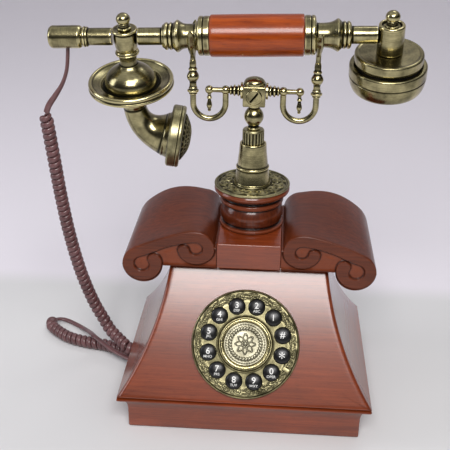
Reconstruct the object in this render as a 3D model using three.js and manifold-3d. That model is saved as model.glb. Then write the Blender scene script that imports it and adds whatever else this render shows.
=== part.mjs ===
// French-style cradle telephone: mahogany base, brass cradle and a detached handset on a curly cord.
// Units are millimetres, +Z up, +X to the right, +Y to the back. The origin is on the floor, under the
// column's axis. Every sub-part is one closed mesh with about 0.3 mm of clearance to its neighbours.
import * as THREE from 'three';
import { mergeVertices } from 'three/addons/utils/BufferGeometryUtils.js';
import Module from 'manifold-3d';

const wasm = await Module();
wasm.setup();

const GAP = 0.3;
const DEG = Math.PI / 180;

// ---- driving dimensions -------------------------------------------------------------------------
const PLINTH = { x: 81.3, front: -74, back: 53.5, straight: 14, top: 26.9 };
const FLARE = { x: 88, front: -80.5, back: 60, z: 27.2 };        // widest edge of the cabinet
const CABINET_TOP = { x: 55, front: -26, back: 28, z: 110 };
const WALL = 7;
const SIDE_BEND = { x: 60.9, z: 63.2 };                           // control point of the concave side
const DIAL = { up: 42.3, radius: 37.4, plate: 3, hole: 34 };      // up is measured along the panel
const KEY = { radius: 5.74, pitch: 26.3, count: 12, travel: 1.2 };
const SCROLL = { front: -37.5, back: 39, bottom: 110.3, top: 137.2 };
const OUTER_VOLUTE = { x: 73.6, z: 110.9, r: 14 };
const INNER_VOLUTE = { x: 36.6, z: 124, r: 13.2 };
const BLOCK = { x: 22, top: 129 };
const COLLAR = { bottom: 129.3, top: 158.4, r: 22.3 };
const ROSETTE = { r: 26.5, z: 158.7, thick: 2 };
const COLUMN = { z: 161, bell: 13, ring: 11.35, shaft: 9.2, top: 189.6, bore: 7.9 };
const ROD = { r: 1.6, bottom: 88.6 };
const HEAD = { z: 223.7, half: 7.5, dome: 235.7 };
const ARM_Z = 226;
const U_BEND = { x: 30.3, r: 11, z: 216.8, tube: 2 };
const FORK = { merge: 244, spread: 17.6, tip: 268.6, tine: 1.7 };
const HANDSET = { z: 263, roll: 14.8, tilt: 1.82, waist: 7.9 };   // lies a little skew in its forks
const HUB_X = -85.9;
const EAR_X = 86.9;
const CORD = { lead: 3, curl: 9.5 };

// ---- materials ------------------------------------------------------------------------------------
function finish(color, roughness, metalness) {
  return new THREE.MeshStandardMaterial({ color, roughness, metalness });
}
const mahogany = finish(0x8a4430, 0.3, 0);
const gripWood = finish(0xa84a20, 0.25, 0);
const brass = finish(0x8f8350, 0.35, 1);
const blackGloss = finish(0x141414, 0.2, 0);
const cordVinyl = finish(0x6b4a43, 0.5, 0);
const board = finish(0x1f5a34, 0.6, 0);
const steel = finish(0x9a9a9a, 0.4, 1);
const rubber = finish(0x3a3a3a, 0.8, 0);

const group = new THREE.Group();
const handset = new THREE.Group();
handset.position.set(0, 0, HANDSET.z);
handset.rotation.set(HANDSET.roll * DEG, -HANDSET.tilt * DEG, 0, 'YXZ');
group.add(handset);

function add(name, geometry, material, parent = group) {
  const mesh = new THREE.Mesh(geometry, material);
  mesh.name = name;
  parent.add(mesh);
  return mesh;
}

// ---- solids ---------------------------------------------------------------------------------------
// Welds a closed geometry and drops the flat triangles at its poles.
function weld(geometry) {
  const plain = geometry.clone();
  plain.deleteAttribute('normal');
  plain.deleteAttribute('uv');
  const merged = mergeVertices(plain, 1e-4);
  const kept = [];
  const index = merged.index.array;
  for (let i = 0; i < index.length; i += 3) {
    const [a, b, c] = [index[i], index[i + 1], index[i + 2]];
    if (a !== b && b !== c && c !== a) kept.push(a, b, c);
  }
  merged.setIndex(kept);
  return merged;
}

function solid(geometry) {
  const g = weld(geometry);
  const mesh = { numProp: 3, vertProperties: new Float32Array(g.attributes.position.array),
    triVerts: new Uint32Array(g.index.array) };
  return new wasm.Manifold(new wasm.Mesh(mesh));
}

function fromSolid(body) {
  const mesh = body.getMesh();
  const g = new THREE.BufferGeometry();
  g.setAttribute('position', new THREE.BufferAttribute(new Float32Array(mesh.vertProperties), 3));
  g.setIndex(new THREE.BufferAttribute(new Uint32Array(mesh.triVerts), 1));
  g.computeVertexNormals();
  return g;
}

function join(...geometries) {
  return fromSolid(geometries.map(solid).reduce((a, b) => a.add(b)));
}

function cut(geometry, ...tools) {
  return fromSolid(tools.map(solid).reduce((a, b) => a.subtract(b), solid(geometry)));
}

function keepCommon(a, b) {
  return fromSolid(solid(a).intersect(solid(b)));
}

// Solid of revolution about +Z from [radius, height] pairs, listed from the bottom up.
function lathe(profile, segments = 20) {
  const points = profile.map(([r, z]) => new THREE.Vector2(r, z));
  return weld(new THREE.LatheGeometry(points, segments).rotateX(Math.PI / 2));
}

// The same along +X: [x, radius] pairs listed from left to right.
function turned(profile, segments = 16) {
  const rows = [[0, profile[0][0]], ...profile.map(([x, r]) => [r, x]), [0, profile.at(-1)[0]]];
  return lathe(rows, segments).rotateY(Math.PI / 2);
}

function disc(r, bottom, top, segments = 20) {
  return lathe([[0, bottom], [r, bottom], [r, top], [0, top]], segments);
}

function box(x0, x1, y0, y1, z0, z1) {
  const g = new THREE.BoxGeometry(x1 - x0, y1 - y0, z1 - z0);
  return g.translate((x0 + x1) / 2, (y0 + y1) / 2, (z0 + z1) / 2);
}

// Skins a list of closed rings with equal point counts, listed so that the faces point out.
function loft(rings) {
  const n = rings[0].length;
  const index = [];
  for (let k = 0; k + 1 < rings.length; k++) {
    for (let i = 0; i < n; i++) {
      const [a, b] = [k * n + i, k * n + (i + 1) % n];
      index.push(a, b, b + n, a, b + n, a + n);
    }
  }
  const last = (rings.length - 1) * n;
  for (let i = 1; i + 1 < n; i++) index.push(0, i + 1, i, last, last + i, last + i + 1);
  const g = new THREE.BufferGeometry();
  g.setAttribute('position', new THREE.Float32BufferAttribute(rings.flat(2), 3));
  g.setIndex(index);
  return g;
}

// Round tube of one diameter through hand-placed points.
function tube(points, diameter, steps, sides = 8) {
  const curve = new THREE.CatmullRomCurve3(points.map((p) => new THREE.Vector3(...p)), false, 'centripetal');
  const shape = new THREE.Shape();
  for (let i = 0; i < sides; i++) {
    const a = (2 * Math.PI * i) / sides;
    const [x, y] = [diameter / 2 * Math.cos(a), diameter / 2 * Math.sin(a)];
    if (i === 0) shape.moveTo(x, y);
    else shape.lineTo(x, y);
  }
  shape.closePath();
  return weld(new THREE.ExtrudeGeometry(shape, { steps, bevelEnabled: false, extrudePath: curve }));
}

function ball(r, x, z) {
  return weld(new THREE.SphereGeometry(r, 10, 8)).translate(x, 0, z);
}

function mirrored(geometry) {
  const g = weld(geometry).scale(-1, 1, 1);
  const index = g.index.array;
  for (let i = 0; i < index.length; i += 3) [index[i + 1], index[i + 2]] = [index[i + 2], index[i + 1]];
  return g;
}

// ---- base -----------------------------------------------------------------------------------------
const lean = Math.atan2(CABINET_TOP.front - FLARE.front, CABINET_TOP.z - FLARE.z);

// Half width of the cabinet at height z: a quadratic curve from the flare to the top.
function sideCurve(t) {
  const mix = (a, b, c) => (1 - t) ** 2 * a + 2 * t * (1 - t) * b + t * t * c;
  return { x: mix(FLARE.x, SIDE_BEND.x, CABINET_TOP.x), z: mix(FLARE.z, SIDE_BEND.z, CABINET_TOP.z) };
}

function cabinetRings(inset, bottomDrop, topDrop) {
  const rings = [];
  const steps = 8;
  for (let i = 0; i <= steps; i++) {
    const { x, z } = sideCurve(i / steps);
    const front = FLARE.front + (z - FLARE.z) * Math.tan(lean);
    const back = x - (FLARE.x - FLARE.back);
    let height = z;
    if (i === 0) height -= bottomDrop;
    if (i === steps) height -= topDrop;
    const [w, f, b] = [x - inset, front + inset, back - inset];
    rings.push([[-w, f, height], [w, f, height], [w, b, height], [-w, b, height]]);
  }
  return loft(rings);
}

// Turns a piece made around the dial's own axis (+Z out of the panel) into its place on the panel.
function onPanel(geometry) {
  const along = DIAL.up;
  const y = FLARE.front + along * Math.sin(lean);
  const z = FLARE.z + along * Math.cos(lean);
  return geometry.rotateX(Math.PI / 2 - lean).translate(0, y, z);
}

function panelSlab(thickness) {
  return onPanel(box(-120, 120, -90, 120, -thickness, 30));
}

function buildCabinet() {
  const outer = cabinetRings(0, 0, 0);
  const room = cabinetRings(WALL, 12, WALL);
  const studHole = disc(4.5, 90, 120, 20);
  add('cabinet', cut(outer, room, panelSlab(WALL + GAP), studHole), mahogany);
  const panel = keepCommon(outer, panelSlab(WALL));
  add('front_panel', cut(panel, onPanel(disc(DIAL.hole, -20, 10, 36))), mahogany);
}

function buildPlinth() {
  const { x, front, back, straight, top } = PLINTH;
  const rings = [];
  const coveSteps = 5;
  const out = FLARE.x - x;
  for (let i = -1; i <= coveSteps; i++) {
    const a = Math.max(i, 0) / coveSteps * Math.PI / 2;
    const e = out * (1 - Math.cos(a));
    const z = i < 0 ? 0 : straight + (top - straight) * Math.sin(a);
    rings.push([[-x - e, front - e, z], [x + e, front - e, z], [x + e, back + e, z], [-x - e, back + e, z]]);
  }
  const room = box(-x + WALL, x - WALL, front + WALL, back - WALL, -5, top + 5);
  const jackHole = box(22.7, 37.3, back - 12, back + 5, 1.7, 14.3);
  add('plinth', cut(loft(rings), room, jackHole), mahogany);
  const inset = WALL + GAP;
  add('bottom_plate', box(-x + inset, x - inset, front + inset, back - inset, 0, 1.4), rubber);
}

function scrollOutline() {
  const s = new THREE.Shape();
  const [o, i] = [OUTER_VOLUTE, INNER_VOLUTE];
  s.moveTo(BLOCK.x + GAP, SCROLL.bottom);
  s.lineTo(BLOCK.x + GAP, i.z + 2);
  s.absarc(i.x, i.z, i.r, 172 * DEG, 84 * DEG, true);
  s.bezierCurveTo(50, 136.5, 68, 129, 80.5, 123.2);
  s.absarc(o.x, o.z, o.r, 56 * DEG, -186 * DEG, true);
  s.lineTo(o.x - o.r, SCROLL.bottom);
  s.closePath();
  return s;
}

function buildScrolls() {
  const depth = SCROLL.back - SCROLL.front;
  const options = { depth, bevelEnabled: false, curveSegments: 9 };
  const right = new THREE.ExtrudeGeometry(scrollOutline(), options).rotateX(Math.PI / 2).translate(0, SCROLL.back, 0);
  add('scroll_right', weld(right), mahogany);
  add('scroll_left', mirrored(right), mahogany);
  const block = box(-BLOCK.x, BLOCK.x, SCROLL.front, SCROLL.back, SCROLL.bottom, BLOCK.top);
  add('centre_block', cut(block, disc(4.5, 100, 140, 20)), mahogany);
}

function buildCollar() {
  const { bottom, top, r } = COLLAR;
  add('turned_collar', lathe([
    [4.5, bottom], [r + 0.2, bottom], [r + 0.4, 131], [r - 0.5, 132.5], [r - 0.2, 134], [r + 0.2, 139],
    [r - 0.3, 144], [r - 1.4, 146.3], [r, 147], [r, 149.6], [r - 1.6, 150.6], [r + 0.4, 152.6],
    [r + 3.2, 154], [r + 4.2, 156.4], [r + 3.6, top], [4.5, top], [4.5, bottom]], 24), mahogany);
  const { r: rr, z, thick } = ROSETTE;
  add('rosette_plate', lathe([[4.5, z], [rr, z], [rr, z + 1.2], [rr - 1, z + thick], [4.5, z + thick], [4.5, z]],
    24), brass);
}

// The column with its threaded stud, which the clamp nut pulls down inside the cabinet.
function buildColumn() {
  const { z, bell, ring, shaft, top, bore } = COLUMN;
  add('column', lathe([
    [2.2, 92], [4.2, 92], [4.2, z], [bell, z], [bell - 0.5, z + 2.5], [ring - 0.4, z + 8.4], [ring, z + 9],
    [ring, z + 11.4], [ring - 1.2, z + 11.9], [ring, z + 12.4], [ring, z + 14.4], [shaft, z + 15],
    [shaft, top], [bore, top], [bore, top - 16], [2.2, top - 16], [2.2, 92]], 20), brass);
  add('clamp_nut', cut(disc(9, 94.5, 102.5, 6), disc(4.6, 90, 105, 20)), steel);
  add('hook_switch', box(-10, 10, -6, 6, 78, ROD.bottom - GAP), blackGloss);
}

function buildDial() {
  const t = DIAL.plate;
  let plate = disc(DIAL.radius, GAP, GAP + t, 36);
  const tools = [];
  for (let i = 0; i < KEY.count; i++) {
    const a = (15 + 30 * i) * DEG;
    const hole = disc(KEY.radius + GAP, -5, 10, 14);
    tools.push(hole.translate(KEY.pitch * Math.cos(a), KEY.pitch * Math.sin(a), 0));
  }
  const stop = box(30, 35.5, -1.3, 1.3, 1, GAP + t + 1.8).rotateZ(-30 * DEG);
  plate = join(cut(plate, ...tools), stop);
  add('dial_plate', onPanel(plate), brass);
  const s = GAP + t + GAP;
  add('dial_badge', onPanel(lathe([[0, s], [17.6, s], [17.6, s + 1.4], [16.5, s + 2.4], [15.3, s + 1.6],
    [14.8, s + 0.9], [12, s + 1.5], [0, s + 1.9]], 24)), brass);
  add('key_mat', onPanel(disc(33, -4.4, -2.9, 28)), rubber);
  add('keypad_board', onPanel(disc(33, -6.4, -4.8, 28)), board);
}

function buildKeys() {
  const names = ['hash', '1', '2', '3', '4', '5', '6', '7', '8', '9', '0', 'star'];
  const r = KEY.radius;
  names.forEach((name, i) => {
    const a = (15 + 30 * i) * DEG;
    const cap = lathe([[0, -1.4], [r + 0.8, -1.4], [r + 0.8, 0], [r, 0], [r, 3.9], [r - 0.9, 4.9],
      [0, 5.6]], 12);
    add(`key_${name}`, onPanel(cap.translate(KEY.pitch * Math.cos(a), KEY.pitch * Math.sin(a), 0)), blackGloss);
  });
}

function buildInsides() {
  add('main_board', box(-50, 45, -50, 20, 8, 9.6), board);
  add('ringer', disc(15, 1.7, 7.6, 24).translate(52, 24, 0), blackGloss);
  const y = PLINTH.back;
  add('line_jack', cut(box(23, 37, y - 9, y + 1.5, 2, 14), box(26, 34, y - 6, y + 5, 4.8, 11.4)), blackGloss);
  const grommet = turned([[-PLINTH.x - 2.6, 2.4], [-PLINTH.x - 1.8, 3.4], [-PLINTH.x - GAP, 3.4]], 14);
  add('cord_grommet', grommet.translate(0, -9.5, 8.6), blackGloss);
}

// ---- cradle ---------------------------------------------------------------------------------------
function buildNeck() {
  add('fluted_sleeve', lathe([[0, 178], [7.5, 178], [7.5, 198.4], [6.8, 199.5], [0, 199.5]], 20), brass);
  add('neck_ball', lathe([[0, 199.8], [3.6, 199.8], [3.6, 202], [5.6, 204.8], [6.65, 208.4], [5.6, 212],
    [3.6, 214.6], [3.6, 216.4], [0, 216.4]], 16), brass);
  add('plunger_rod', disc(ROD.r, ROD.bottom, 177.7, 12), steel);
  const { z, half, dome } = HEAD;
  const block = box(-half, half, -half, half, z - 7, z + 6.9);
  const cap = lathe([[0, z + 5], [half - 0.2, z + 5], [half - 0.4, z + 8.4], [half - 2, z + 10.4], [3, dome - 0.5],
    [0, dome]], 16);
  const boss = disc(5.4, 0, half + 1.4, 20).rotateX(Math.PI / 2).translate(0, 0, z);
  add('head_block', join(block, cap, boss), brass);
}

// Height of the fork's crotch under the handset's waist on one side.
function crotchHeight(side) {
  return HANDSET.z + side * 42 * Math.sin(HANDSET.tilt * DEG) - HANDSET.waist - 0.4 - FORK.tine;
}

function buildArm(side) {
  const { x, r, z, tube: d } = U_BEND;
  const post = x + r;
  const pieces = [turned([[7.9, 5.5], [9.2, 5.5], [9.3, 3], [10.3, 3.7], [11.7, 2.7], [13, 3.9], [14.4, 2.6],
    [15.6, 3.4], [16.6, 2], [x, 1.5]], 12).translate(0, 0, ARM_Z)];
  pieces.push(ball(3.1, x - r, ARM_Z), ball(2.9, x, ARM_Z));
  pieces.push(lathe([[0, 210.9], [1, 211.4], [1.9, 214], [1.5, 217], [1, 219], [1.6, 221], [1.2, 224], [0, 226]],
    10).translate(x, 0, 0));
  const bend = [[x - r, 0, ARM_Z], [x - r, 0, z + 3]];
  for (let i = 0; i <= 6; i++) {
    const a = Math.PI + (i / 6) * Math.PI;
    bend.push([x + r * Math.cos(a), 0, z + r * Math.sin(a)]);
  }
  bend.push([post, 0, z + 5], [post, 0, 232], [post, 0, FORK.merge + 2]);
  pieces.push(tube(bend, 2 * d, 16));
  pieces.push(lathe([[0, 222.6], [3.4, 223.4], [3.9, 225], [3.4, 226.6], [2.6, 228], [2.6, 231.5], [4.1, 234.8],
    [2.6, 238], [2.2, 241], [2.6, FORK.merge], [2.2, FORK.merge + 2], [0, FORK.merge + 2.4]], 10).translate(post, 0, 0));
  const low = crotchHeight(side);
  const half = HANDSET.waist + 3;
  const fork = [];
  for (const s of [-1, 1]) {
    fork.push([[post, 0, FORK.merge], [post, s * 0.6, low - 3.4], [post, s * 4.5, low + 0.6],
      [post, s * (half - 0.6), low + 5.6], [post, s * (half + 2.2), low + 10], [post, s * FORK.spread, FORK.tip]]);
  }
  for (const path of fork) pieces.push(tube(path, 2 * FORK.tine, 7));
  const arm = join(...pieces);
  if (side > 0) add('cradle_arm_right', arm, brass);
  else add('cradle_arm_left', mirrored(arm), brass);
}

// ---- handset, along its own X axis ----------------------------------------------------------------
function buildGrip() {
  add('cord_cap', turned([[-136.5, 5.6], [-135.4, 7.2], [-134, 7.5], [-115.8, 7.5], [-114.8, 6.8]]), brass, handset);
  add('end_tube', turned([[-114.5, 5.6], [-113.6, 5.7], [-113.5, 6.7], [-110.6, 6.7], [-110.4, 5.7],
    [HUB_X - 8.6, 5.7]]), brass, handset);
  add('arm_left', turned([[HUB_X + 8.6, 5.7], [-60.5, 5.7], [-60.2, 8], [-58.4, 9], [-56.6, 8], [-55.6, 9],
    [-54, 8.6], [-51.1, 10.5], [-49.4, 9], [-46.6, 8], [-43, 7.9], [-39.3, 7.9], [-38.9, 9.4],
    [-37.9, 9.8]]), brass, handset);
  add('ferrule_left', turned([[-37.6, 11.8], [-36.4, 12.8], [-34.2, 12.8], [-33.8, 12.2], [-33.4, 12.8],
    [-29.9, 12.8]], 24), brass, handset);
  add('grip', turned([[-29.6, 13.3], [-28.8, 13.6], [30.4, 13.6], [31.2, 13.3]], 24), gripWood, handset);
  add('ferrule_right', turned([[31.5, 12.8], [35.4, 12.8], [35.8, 12.2], [36.2, 12.8], [38, 12.8],
    [38.8, 11.8]], 24), brass, handset);
  add('arm_right', turned([[39.1, 9.2], [39.3, 7.9], [43, 7.9], [46.5, 8], [50.6, 9.2],
    [52.8, 10.7], [55.4, 8.6], [57, 9], [58, 8], [59.8, 9], [61.4, 8], [61.8, 5.7],
    [EAR_X - 8.9, 5.7]]), brass, handset);
}

function finial(x, bottom) {
  return lathe([[0, bottom], [3.4, bottom], [3.4, bottom + 0.8], [2.6, bottom + 1.6], [2.8, bottom + 4.4],
    [4.6, bottom + 5.4], [4.6, bottom + 7], [3.2, bottom + 9.6], [0, bottom + 10.4]], 12).translate(x, 0, 0);
}

function buildTransmitter() {
  add('transmitter_hub', lathe([[0, -9], [7, -9], [7.5, -6], [7.6, 0], [7.2, 3], [8.3, 4.6], [8.3, 5.6], [7.4, 5.8],
    [0, 5.4]], 18).translate(HUB_X, 0, 0), brass, handset);
  add('transmitter_finial', finial(HUB_X, 6.1), brass, handset);
  add('transmitter_dish', lathe([[0, -37], [29, -37], [29.4, -36], [28.8, -34], [29.2, -32.4], [28.2, -31.4],
    [26.6, -32.2], [19, -35.2], [16.6, -35.4], [15.3, -34.4], [14.6, -29.6], [12.4, -25.4], [9, -22], [6.6, -20.4],
    [5.9, -17], [6.7, -12.4], [8, -11.6], [8, -9.9], [7, -9.3], [0, -9.3]], 24).translate(HUB_X, 0, 0), brass, handset);
  add('transmitter_bowl', lathe([[0, -50.6], [9.3, -50.6], [9.6, -47.5], [13, -44.6], [22, -40.6], [27, -37.3],
    [0, -37.3]], 24).translate(HUB_X, 0, 0), brass, handset);
  const bend = new THREE.QuadraticBezierCurve3(new THREE.Vector3(HUB_X + 0.4, 0, -50.9),
    new THREE.Vector3(HUB_X + 0.4, 0, -73.4), new THREE.Vector3(-63.6, 0, -77.6));
  const rings = [];
  for (let i = 0; i <= 9; i++) {
    const t = i / 9;
    const c = bend.getPoint(t);
    const d = bend.getTangent(t);
    const side = new THREE.Vector3(d.z, 0, -d.x);
    const r = 7.9 + 1.2 * t + 7.2 * t ** 2.4;
    const ring = [];
    for (let k = 0; k < 16; k++) {
      const a = (2 * Math.PI * k) / 16;
      ring.push([c.x + r * side.x * Math.cos(a), r * Math.sin(a), c.z + r * side.z * Math.cos(a)]);
    }
    rings.push(ring);
  }
  add('horn', loft(rings), brass, handset);
  const mouth = (g) => g.rotateY(90 * DEG + 11 * DEG).translate(-58.2, 0, -78.6);
  add('horn_ring', mouth(lathe([[18, -5], [21, -5], [22.1, -3.8], [22.1, 3.4], [20.6, 4.4], [17, 4.6], [11, 8.2],
    [0, 10.4], [0, 7.6], [10, 5.6], [18, 1.2], [18, -5]], 24)), brass, handset);
  add('microphone_capsule', mouth(disc(17.6, -2.7, 0.9, 24)), blackGloss, handset);
}

function buildReceiver() {
  add('receiver_stem', lathe([[0, -12], [8.6, -12], [8.6, 6.6], [8, 7.5], [6.4, 7.5], [6.2, 6], [0, 5.9]],
    18).translate(EAR_X, 0, 0), brass, handset);
  add('receiver_finial', finial(EAR_X, 6.2), brass, handset);
  add('receiver_drum', lathe([[0, -20.4], [21.4, -20.4], [21.4, -19], [22.6, -18.6], [22.6, -13], [21.6, -12.3],
    [0, -12.3]], 24).translate(EAR_X, 0, 0), brass, handset);
  add('receiver_cap', lathe([[0, -37.4], [12, -38.6], [20.6, -39.4], [23.6, -37], [25.3, -31], [25.6, -27.2],
    [25.6, -21.8], [24.6, -20.7], [22.4, -20.7], [22.4, -33], [0, -34]], 24).translate(EAR_X, 0, 0), brass, handset);
  add('receiver_capsule', disc(21.4, -32.6, -20.9, 28).translate(EAR_X, 0, 0), blackGloss, handset);
}

// ---- cord -----------------------------------------------------------------------------------------
const leadRoute = [[-125.3, 2, 251], [-125.7, 2, 246], [-127.4, 2, 235.2], [-130.8, 1.2, 226.4],
  [-135.7, 0.4, 218.9], [-141.2, 0, 211], [-143.2, 0, 204.9]];
const curlRoute = [[-143.4, 0, 204.4], [-142.6, 2, 187.6], [-141.4, 4, 168.9], [-139.9, 8, 140],
  [-136.7, 12, 106.2], [-130.7, 15.8, 70.7], [-122.4, 18.6, 42], [-116.2, 18, 29.6], [-110.8, 14.6, 22.2],
  [-105.3, 10.9, 18.4], [-100.5, 7, 16.4], [-96.6, 3.2, 15.3], [-92.8, 1.2, 13.2], [-91, 2, 9.8],
  [-92.2, 5.6, 6], [-96.4, 9.4, 4.8], [-101, 11.9, 4.8], [-107.6, 14.6, 4.8], [-116.6, 17.9, 4.8],
  [-125, 19.2, 4.8], [-134.7, 21.6, 4.8], [-142, 23.8, 4.8], [-149.3, 27.1, 4.8], [-157.5, 33.2, 4.8],
  [-164.2, 39.5, 4.8], [-167.8, 45.4, 4.8], [-167.2, 51, 4.8]];
const tailRoute = [[-167, 51.6, 4.6], [-165.4, 54.6, 3.6], [-161.6, 57.2, 2.4], [-156.8, 56.4, 1.7],
  [-149.5, 51.9, 1.7], [-141.8, 45.2, 2.6], [-134.2, 34.8, 6.2], [-129, 26, 9.6], [-124.6, 18.6, 11.6],
  [-116.3, 11.6, 10.4], [-105.8, 4, 8.6], [-94.6, -3.6, 8.4], [-85.2, -9.2, 8.6]];

function buildCord() {
  add('cord_lead', tube(leadRoute, CORD.lead, 9), cordVinyl);
  add('cord_curl', tube(curlRoute, CORD.curl, 58), cordVinyl);
  add('cord_tail', tube(tailRoute, CORD.lead, 22), cordVinyl);
}

buildCabinet();
buildPlinth();
buildScrolls();
buildCollar();
buildColumn();
buildDial();
buildKeys();
buildInsides();
buildNeck();
buildArm(-1);
buildArm(1);
buildGrip();
buildTransmitter();
buildReceiver();
buildCord();

export default group;
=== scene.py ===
"""Finished model of a french-style cradle telephone, built round its solid frame: mahogany base with carved
scroll shoulders, antique brass cradle and handset, push-key dial and a flat curly cord. Lengths in the code are
millimetres unless a name ends in _m."""

import math

import bmesh
import bpy
import numpy as np
from mathutils import Matrix, Vector


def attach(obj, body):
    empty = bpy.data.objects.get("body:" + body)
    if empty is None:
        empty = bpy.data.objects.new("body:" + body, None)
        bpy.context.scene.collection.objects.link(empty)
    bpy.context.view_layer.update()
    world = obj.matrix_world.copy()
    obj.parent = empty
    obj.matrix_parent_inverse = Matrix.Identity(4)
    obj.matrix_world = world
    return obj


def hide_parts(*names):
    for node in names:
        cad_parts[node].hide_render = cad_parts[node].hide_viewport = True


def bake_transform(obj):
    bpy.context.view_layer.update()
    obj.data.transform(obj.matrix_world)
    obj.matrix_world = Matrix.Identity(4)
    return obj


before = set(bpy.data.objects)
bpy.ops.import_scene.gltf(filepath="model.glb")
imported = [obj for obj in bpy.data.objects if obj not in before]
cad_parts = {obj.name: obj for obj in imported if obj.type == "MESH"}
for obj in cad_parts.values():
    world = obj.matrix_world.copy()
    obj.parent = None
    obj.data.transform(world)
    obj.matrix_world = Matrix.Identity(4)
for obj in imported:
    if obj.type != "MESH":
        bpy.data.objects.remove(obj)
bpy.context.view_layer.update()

bl_info = {
    "name": "Cradle telephone",
    "version": (1, 0, 0),
    "blender": (4, 5, 0),
    "location": "3D View > Sidebar > Telephone",
    "description": "Builds a french-style cradle telephone piece by piece",
    "category": "Add Mesh",
}

MM = 0.001
DEG = math.pi / 180
TAU = 2 * math.pi
CRISP = 34  # edges that turn by more degrees than this stay sharp

# ---- the frame's own dimensions -----------------------------------------------------------------
PLINTH = dict(x=81.3, front=-74, back=53.5, straight=14, top=26.9)
FLARE = dict(x=88, front=-80.5, back=60, z=27.2)
TOP = dict(x=55, front=-26, z=110)
SIDE_BEND = (60.9, 63.2)
WALL, GAP = 7, 0.3
CARVE, BAND = 1.5, 3.6  # depth of the shoulders' carving and half the width of its raised band
SWELL = 6.0  # how much higher the shoulders' arch stands at the back than at the front
EDGE = 2.4  # rounding of the front board
DIAL_UP, DIAL_R, DIAL_HOLE, DIAL_FACE = 42.3, 37.4, 34, 3.0
KEY_R, KEY_PITCH = 5.74, 26.3
SCROLL = dict(front=-37.5, back=39, bottom=110.3)
OUTER = dict(x=73.6, z=110.9, r=14)
INNER = dict(x=36.6, z=124, r=13.2)
BLOCK = dict(x=22, top=129)
COLLAR_R, COLLAR_Z = 22.3, (129.3, 158.4)
ROSETTE_R, ROSETTE_Z, COLUMN_Z = 26.5, 158.7, 161
HEAD_Z, HEAD_HALF = 223.7, 7.5
HANDSET_Z, ROLL, TILT = 263, 14.8, 1.82
HUB_X, EAR_X = -85.9, 86.9
ARM_Z, BEND_X, BEND_R, BEND_Z = 226, 30.3, 11, 216.8
POST_X = BEND_X + BEND_R
MERGE, SPREAD, TIP = 244, 17.6, 268.6  # where a fork divides, half its width at the tips, and their height
LEAN = math.atan2(TOP["front"] - FLARE["front"], TOP["z"] - FLARE["z"])


# ---- meshes -------------------------------------------------------------------------------------
class Surface:
    """A grid of points with its faces and two marks per point: hollow, above 0 in a recess, which gives brass its
    patina and wood painted shade, and below 0 on an edge, and along, the distance in mm along the profile it was
    turned from."""

    def __init__(self, points, faces, hollow=None, along=None):
        self.points = np.asarray(points, float).reshape(-1, 3)
        self.faces = faces
        count = len(self.points)
        self.hollow = np.zeros(count) if hollow is None else np.asarray(hollow, float).reshape(-1)
        self.along = np.zeros(count) if along is None else np.asarray(along, float).reshape(-1)

    def moved(self, change):
        """The same surface with its points changed."""
        return Surface(change(self.points), self.faces, self.hollow, self.along)


def grid(points, hollow=None, along=None, wrap=True, ring=False, caps=False):
    """Quads over a rows by columns array of points. wrap joins the last column to the first, ring the last row to
    the first, and caps closes the first and last rows with one flat face each."""
    rows, cols = points.shape[:2]
    i = np.arange(rows if ring else rows - 1)[:, None]
    j = np.arange(cols if wrap else cols - 1)[None, :]
    i2, j2 = (i + 1) % rows, (j + 1) % cols
    quads = np.stack([i * cols + j, i * cols + j2, i2 * cols + j2, i2 * cols + j], -1).reshape(-1, 4)
    faces = quads.tolist()
    if caps:
        faces += [list(range(cols))[::-1], list(range((rows - 1) * cols, rows * cols))]
    return Surface(points, faces, hollow, along)


def rounded(profile, radius=0.35, steps=3):
    """Each corner sharper than 20 degrees becomes a quadratic curve that starts and ends a radius away from it."""
    p = [np.array(q, float) for q in profile]
    out = [p[0]]
    for a, b, c in zip(p, p[1:], p[2:]):
        u, v = a - b, c - b
        lu, lv = np.linalg.norm(u), np.linalg.norm(v)
        if lu < 1e-6 or lv < 1e-6:
            continue
        if np.dot(u, v) / (lu * lv) > -math.cos(20 * DEG):
            r = min(radius, 0.45 * lu, 0.45 * lv)
            s, e = b + u / lu * r, b + v / lv * r
            for t in np.linspace(0, 1, steps + 1):
                out.append((1 - t) ** 2 * s + 2 * t * (1 - t) * b + t * t * e)
        else:
            out.append(b)
    out.append(p[-1])
    return np.array(out)


def resample(points, step):
    """The same polyline with no stretch longer than step; its own points are kept."""
    out, p = [], np.asarray(points, float)
    for a, b in zip(p, p[1:]):
        n = max(1, int(math.ceil(np.linalg.norm(b - a) / step)))
        out.append(a + (b - a) * (np.arange(n) / n)[:, None])
    return np.vstack(out + [p[-1:]])


def curve(points, per_span=8):
    """Centripetal Catmull-Rom curve through the points: Barry and Goldman's pyramid over knots spaced by the square
    root of the chord."""
    p = np.asarray(points, float)
    p = np.vstack([2 * p[0] - p[1], p, 2 * p[-1] - p[-2]])
    out = []
    for a, b, c, d in zip(p, p[1:], p[2:], p[3:]):
        k = np.cumsum([0] + [math.sqrt(np.linalg.norm(y - x)) for x, y in ((a, b), (b, c), (c, d))])
        t = np.linspace(k[1], k[2], per_span, endpoint=False)[:, None]
        a1 = (k[1] - t) / (k[1] - k[0]) * a + (t - k[0]) / (k[1] - k[0]) * b
        a2 = (k[2] - t) / (k[2] - k[1]) * b + (t - k[1]) / (k[2] - k[1]) * c
        a3 = (k[3] - t) / (k[3] - k[2]) * c + (t - k[2]) / (k[3] - k[2]) * d
        b1 = (k[2] - t) / (k[2] - k[0]) * a1 + (t - k[0]) / (k[2] - k[0]) * a2
        b2 = (k[3] - t) / (k[3] - k[1]) * a2 + (t - k[1]) / (k[3] - k[1]) * a3
        out.append((k[2] - t) / (k[2] - k[1]) * b1 + (t - k[1]) / (k[2] - k[1]) * b2)
    return np.vstack(out + [p[-2:-1]])


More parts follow.
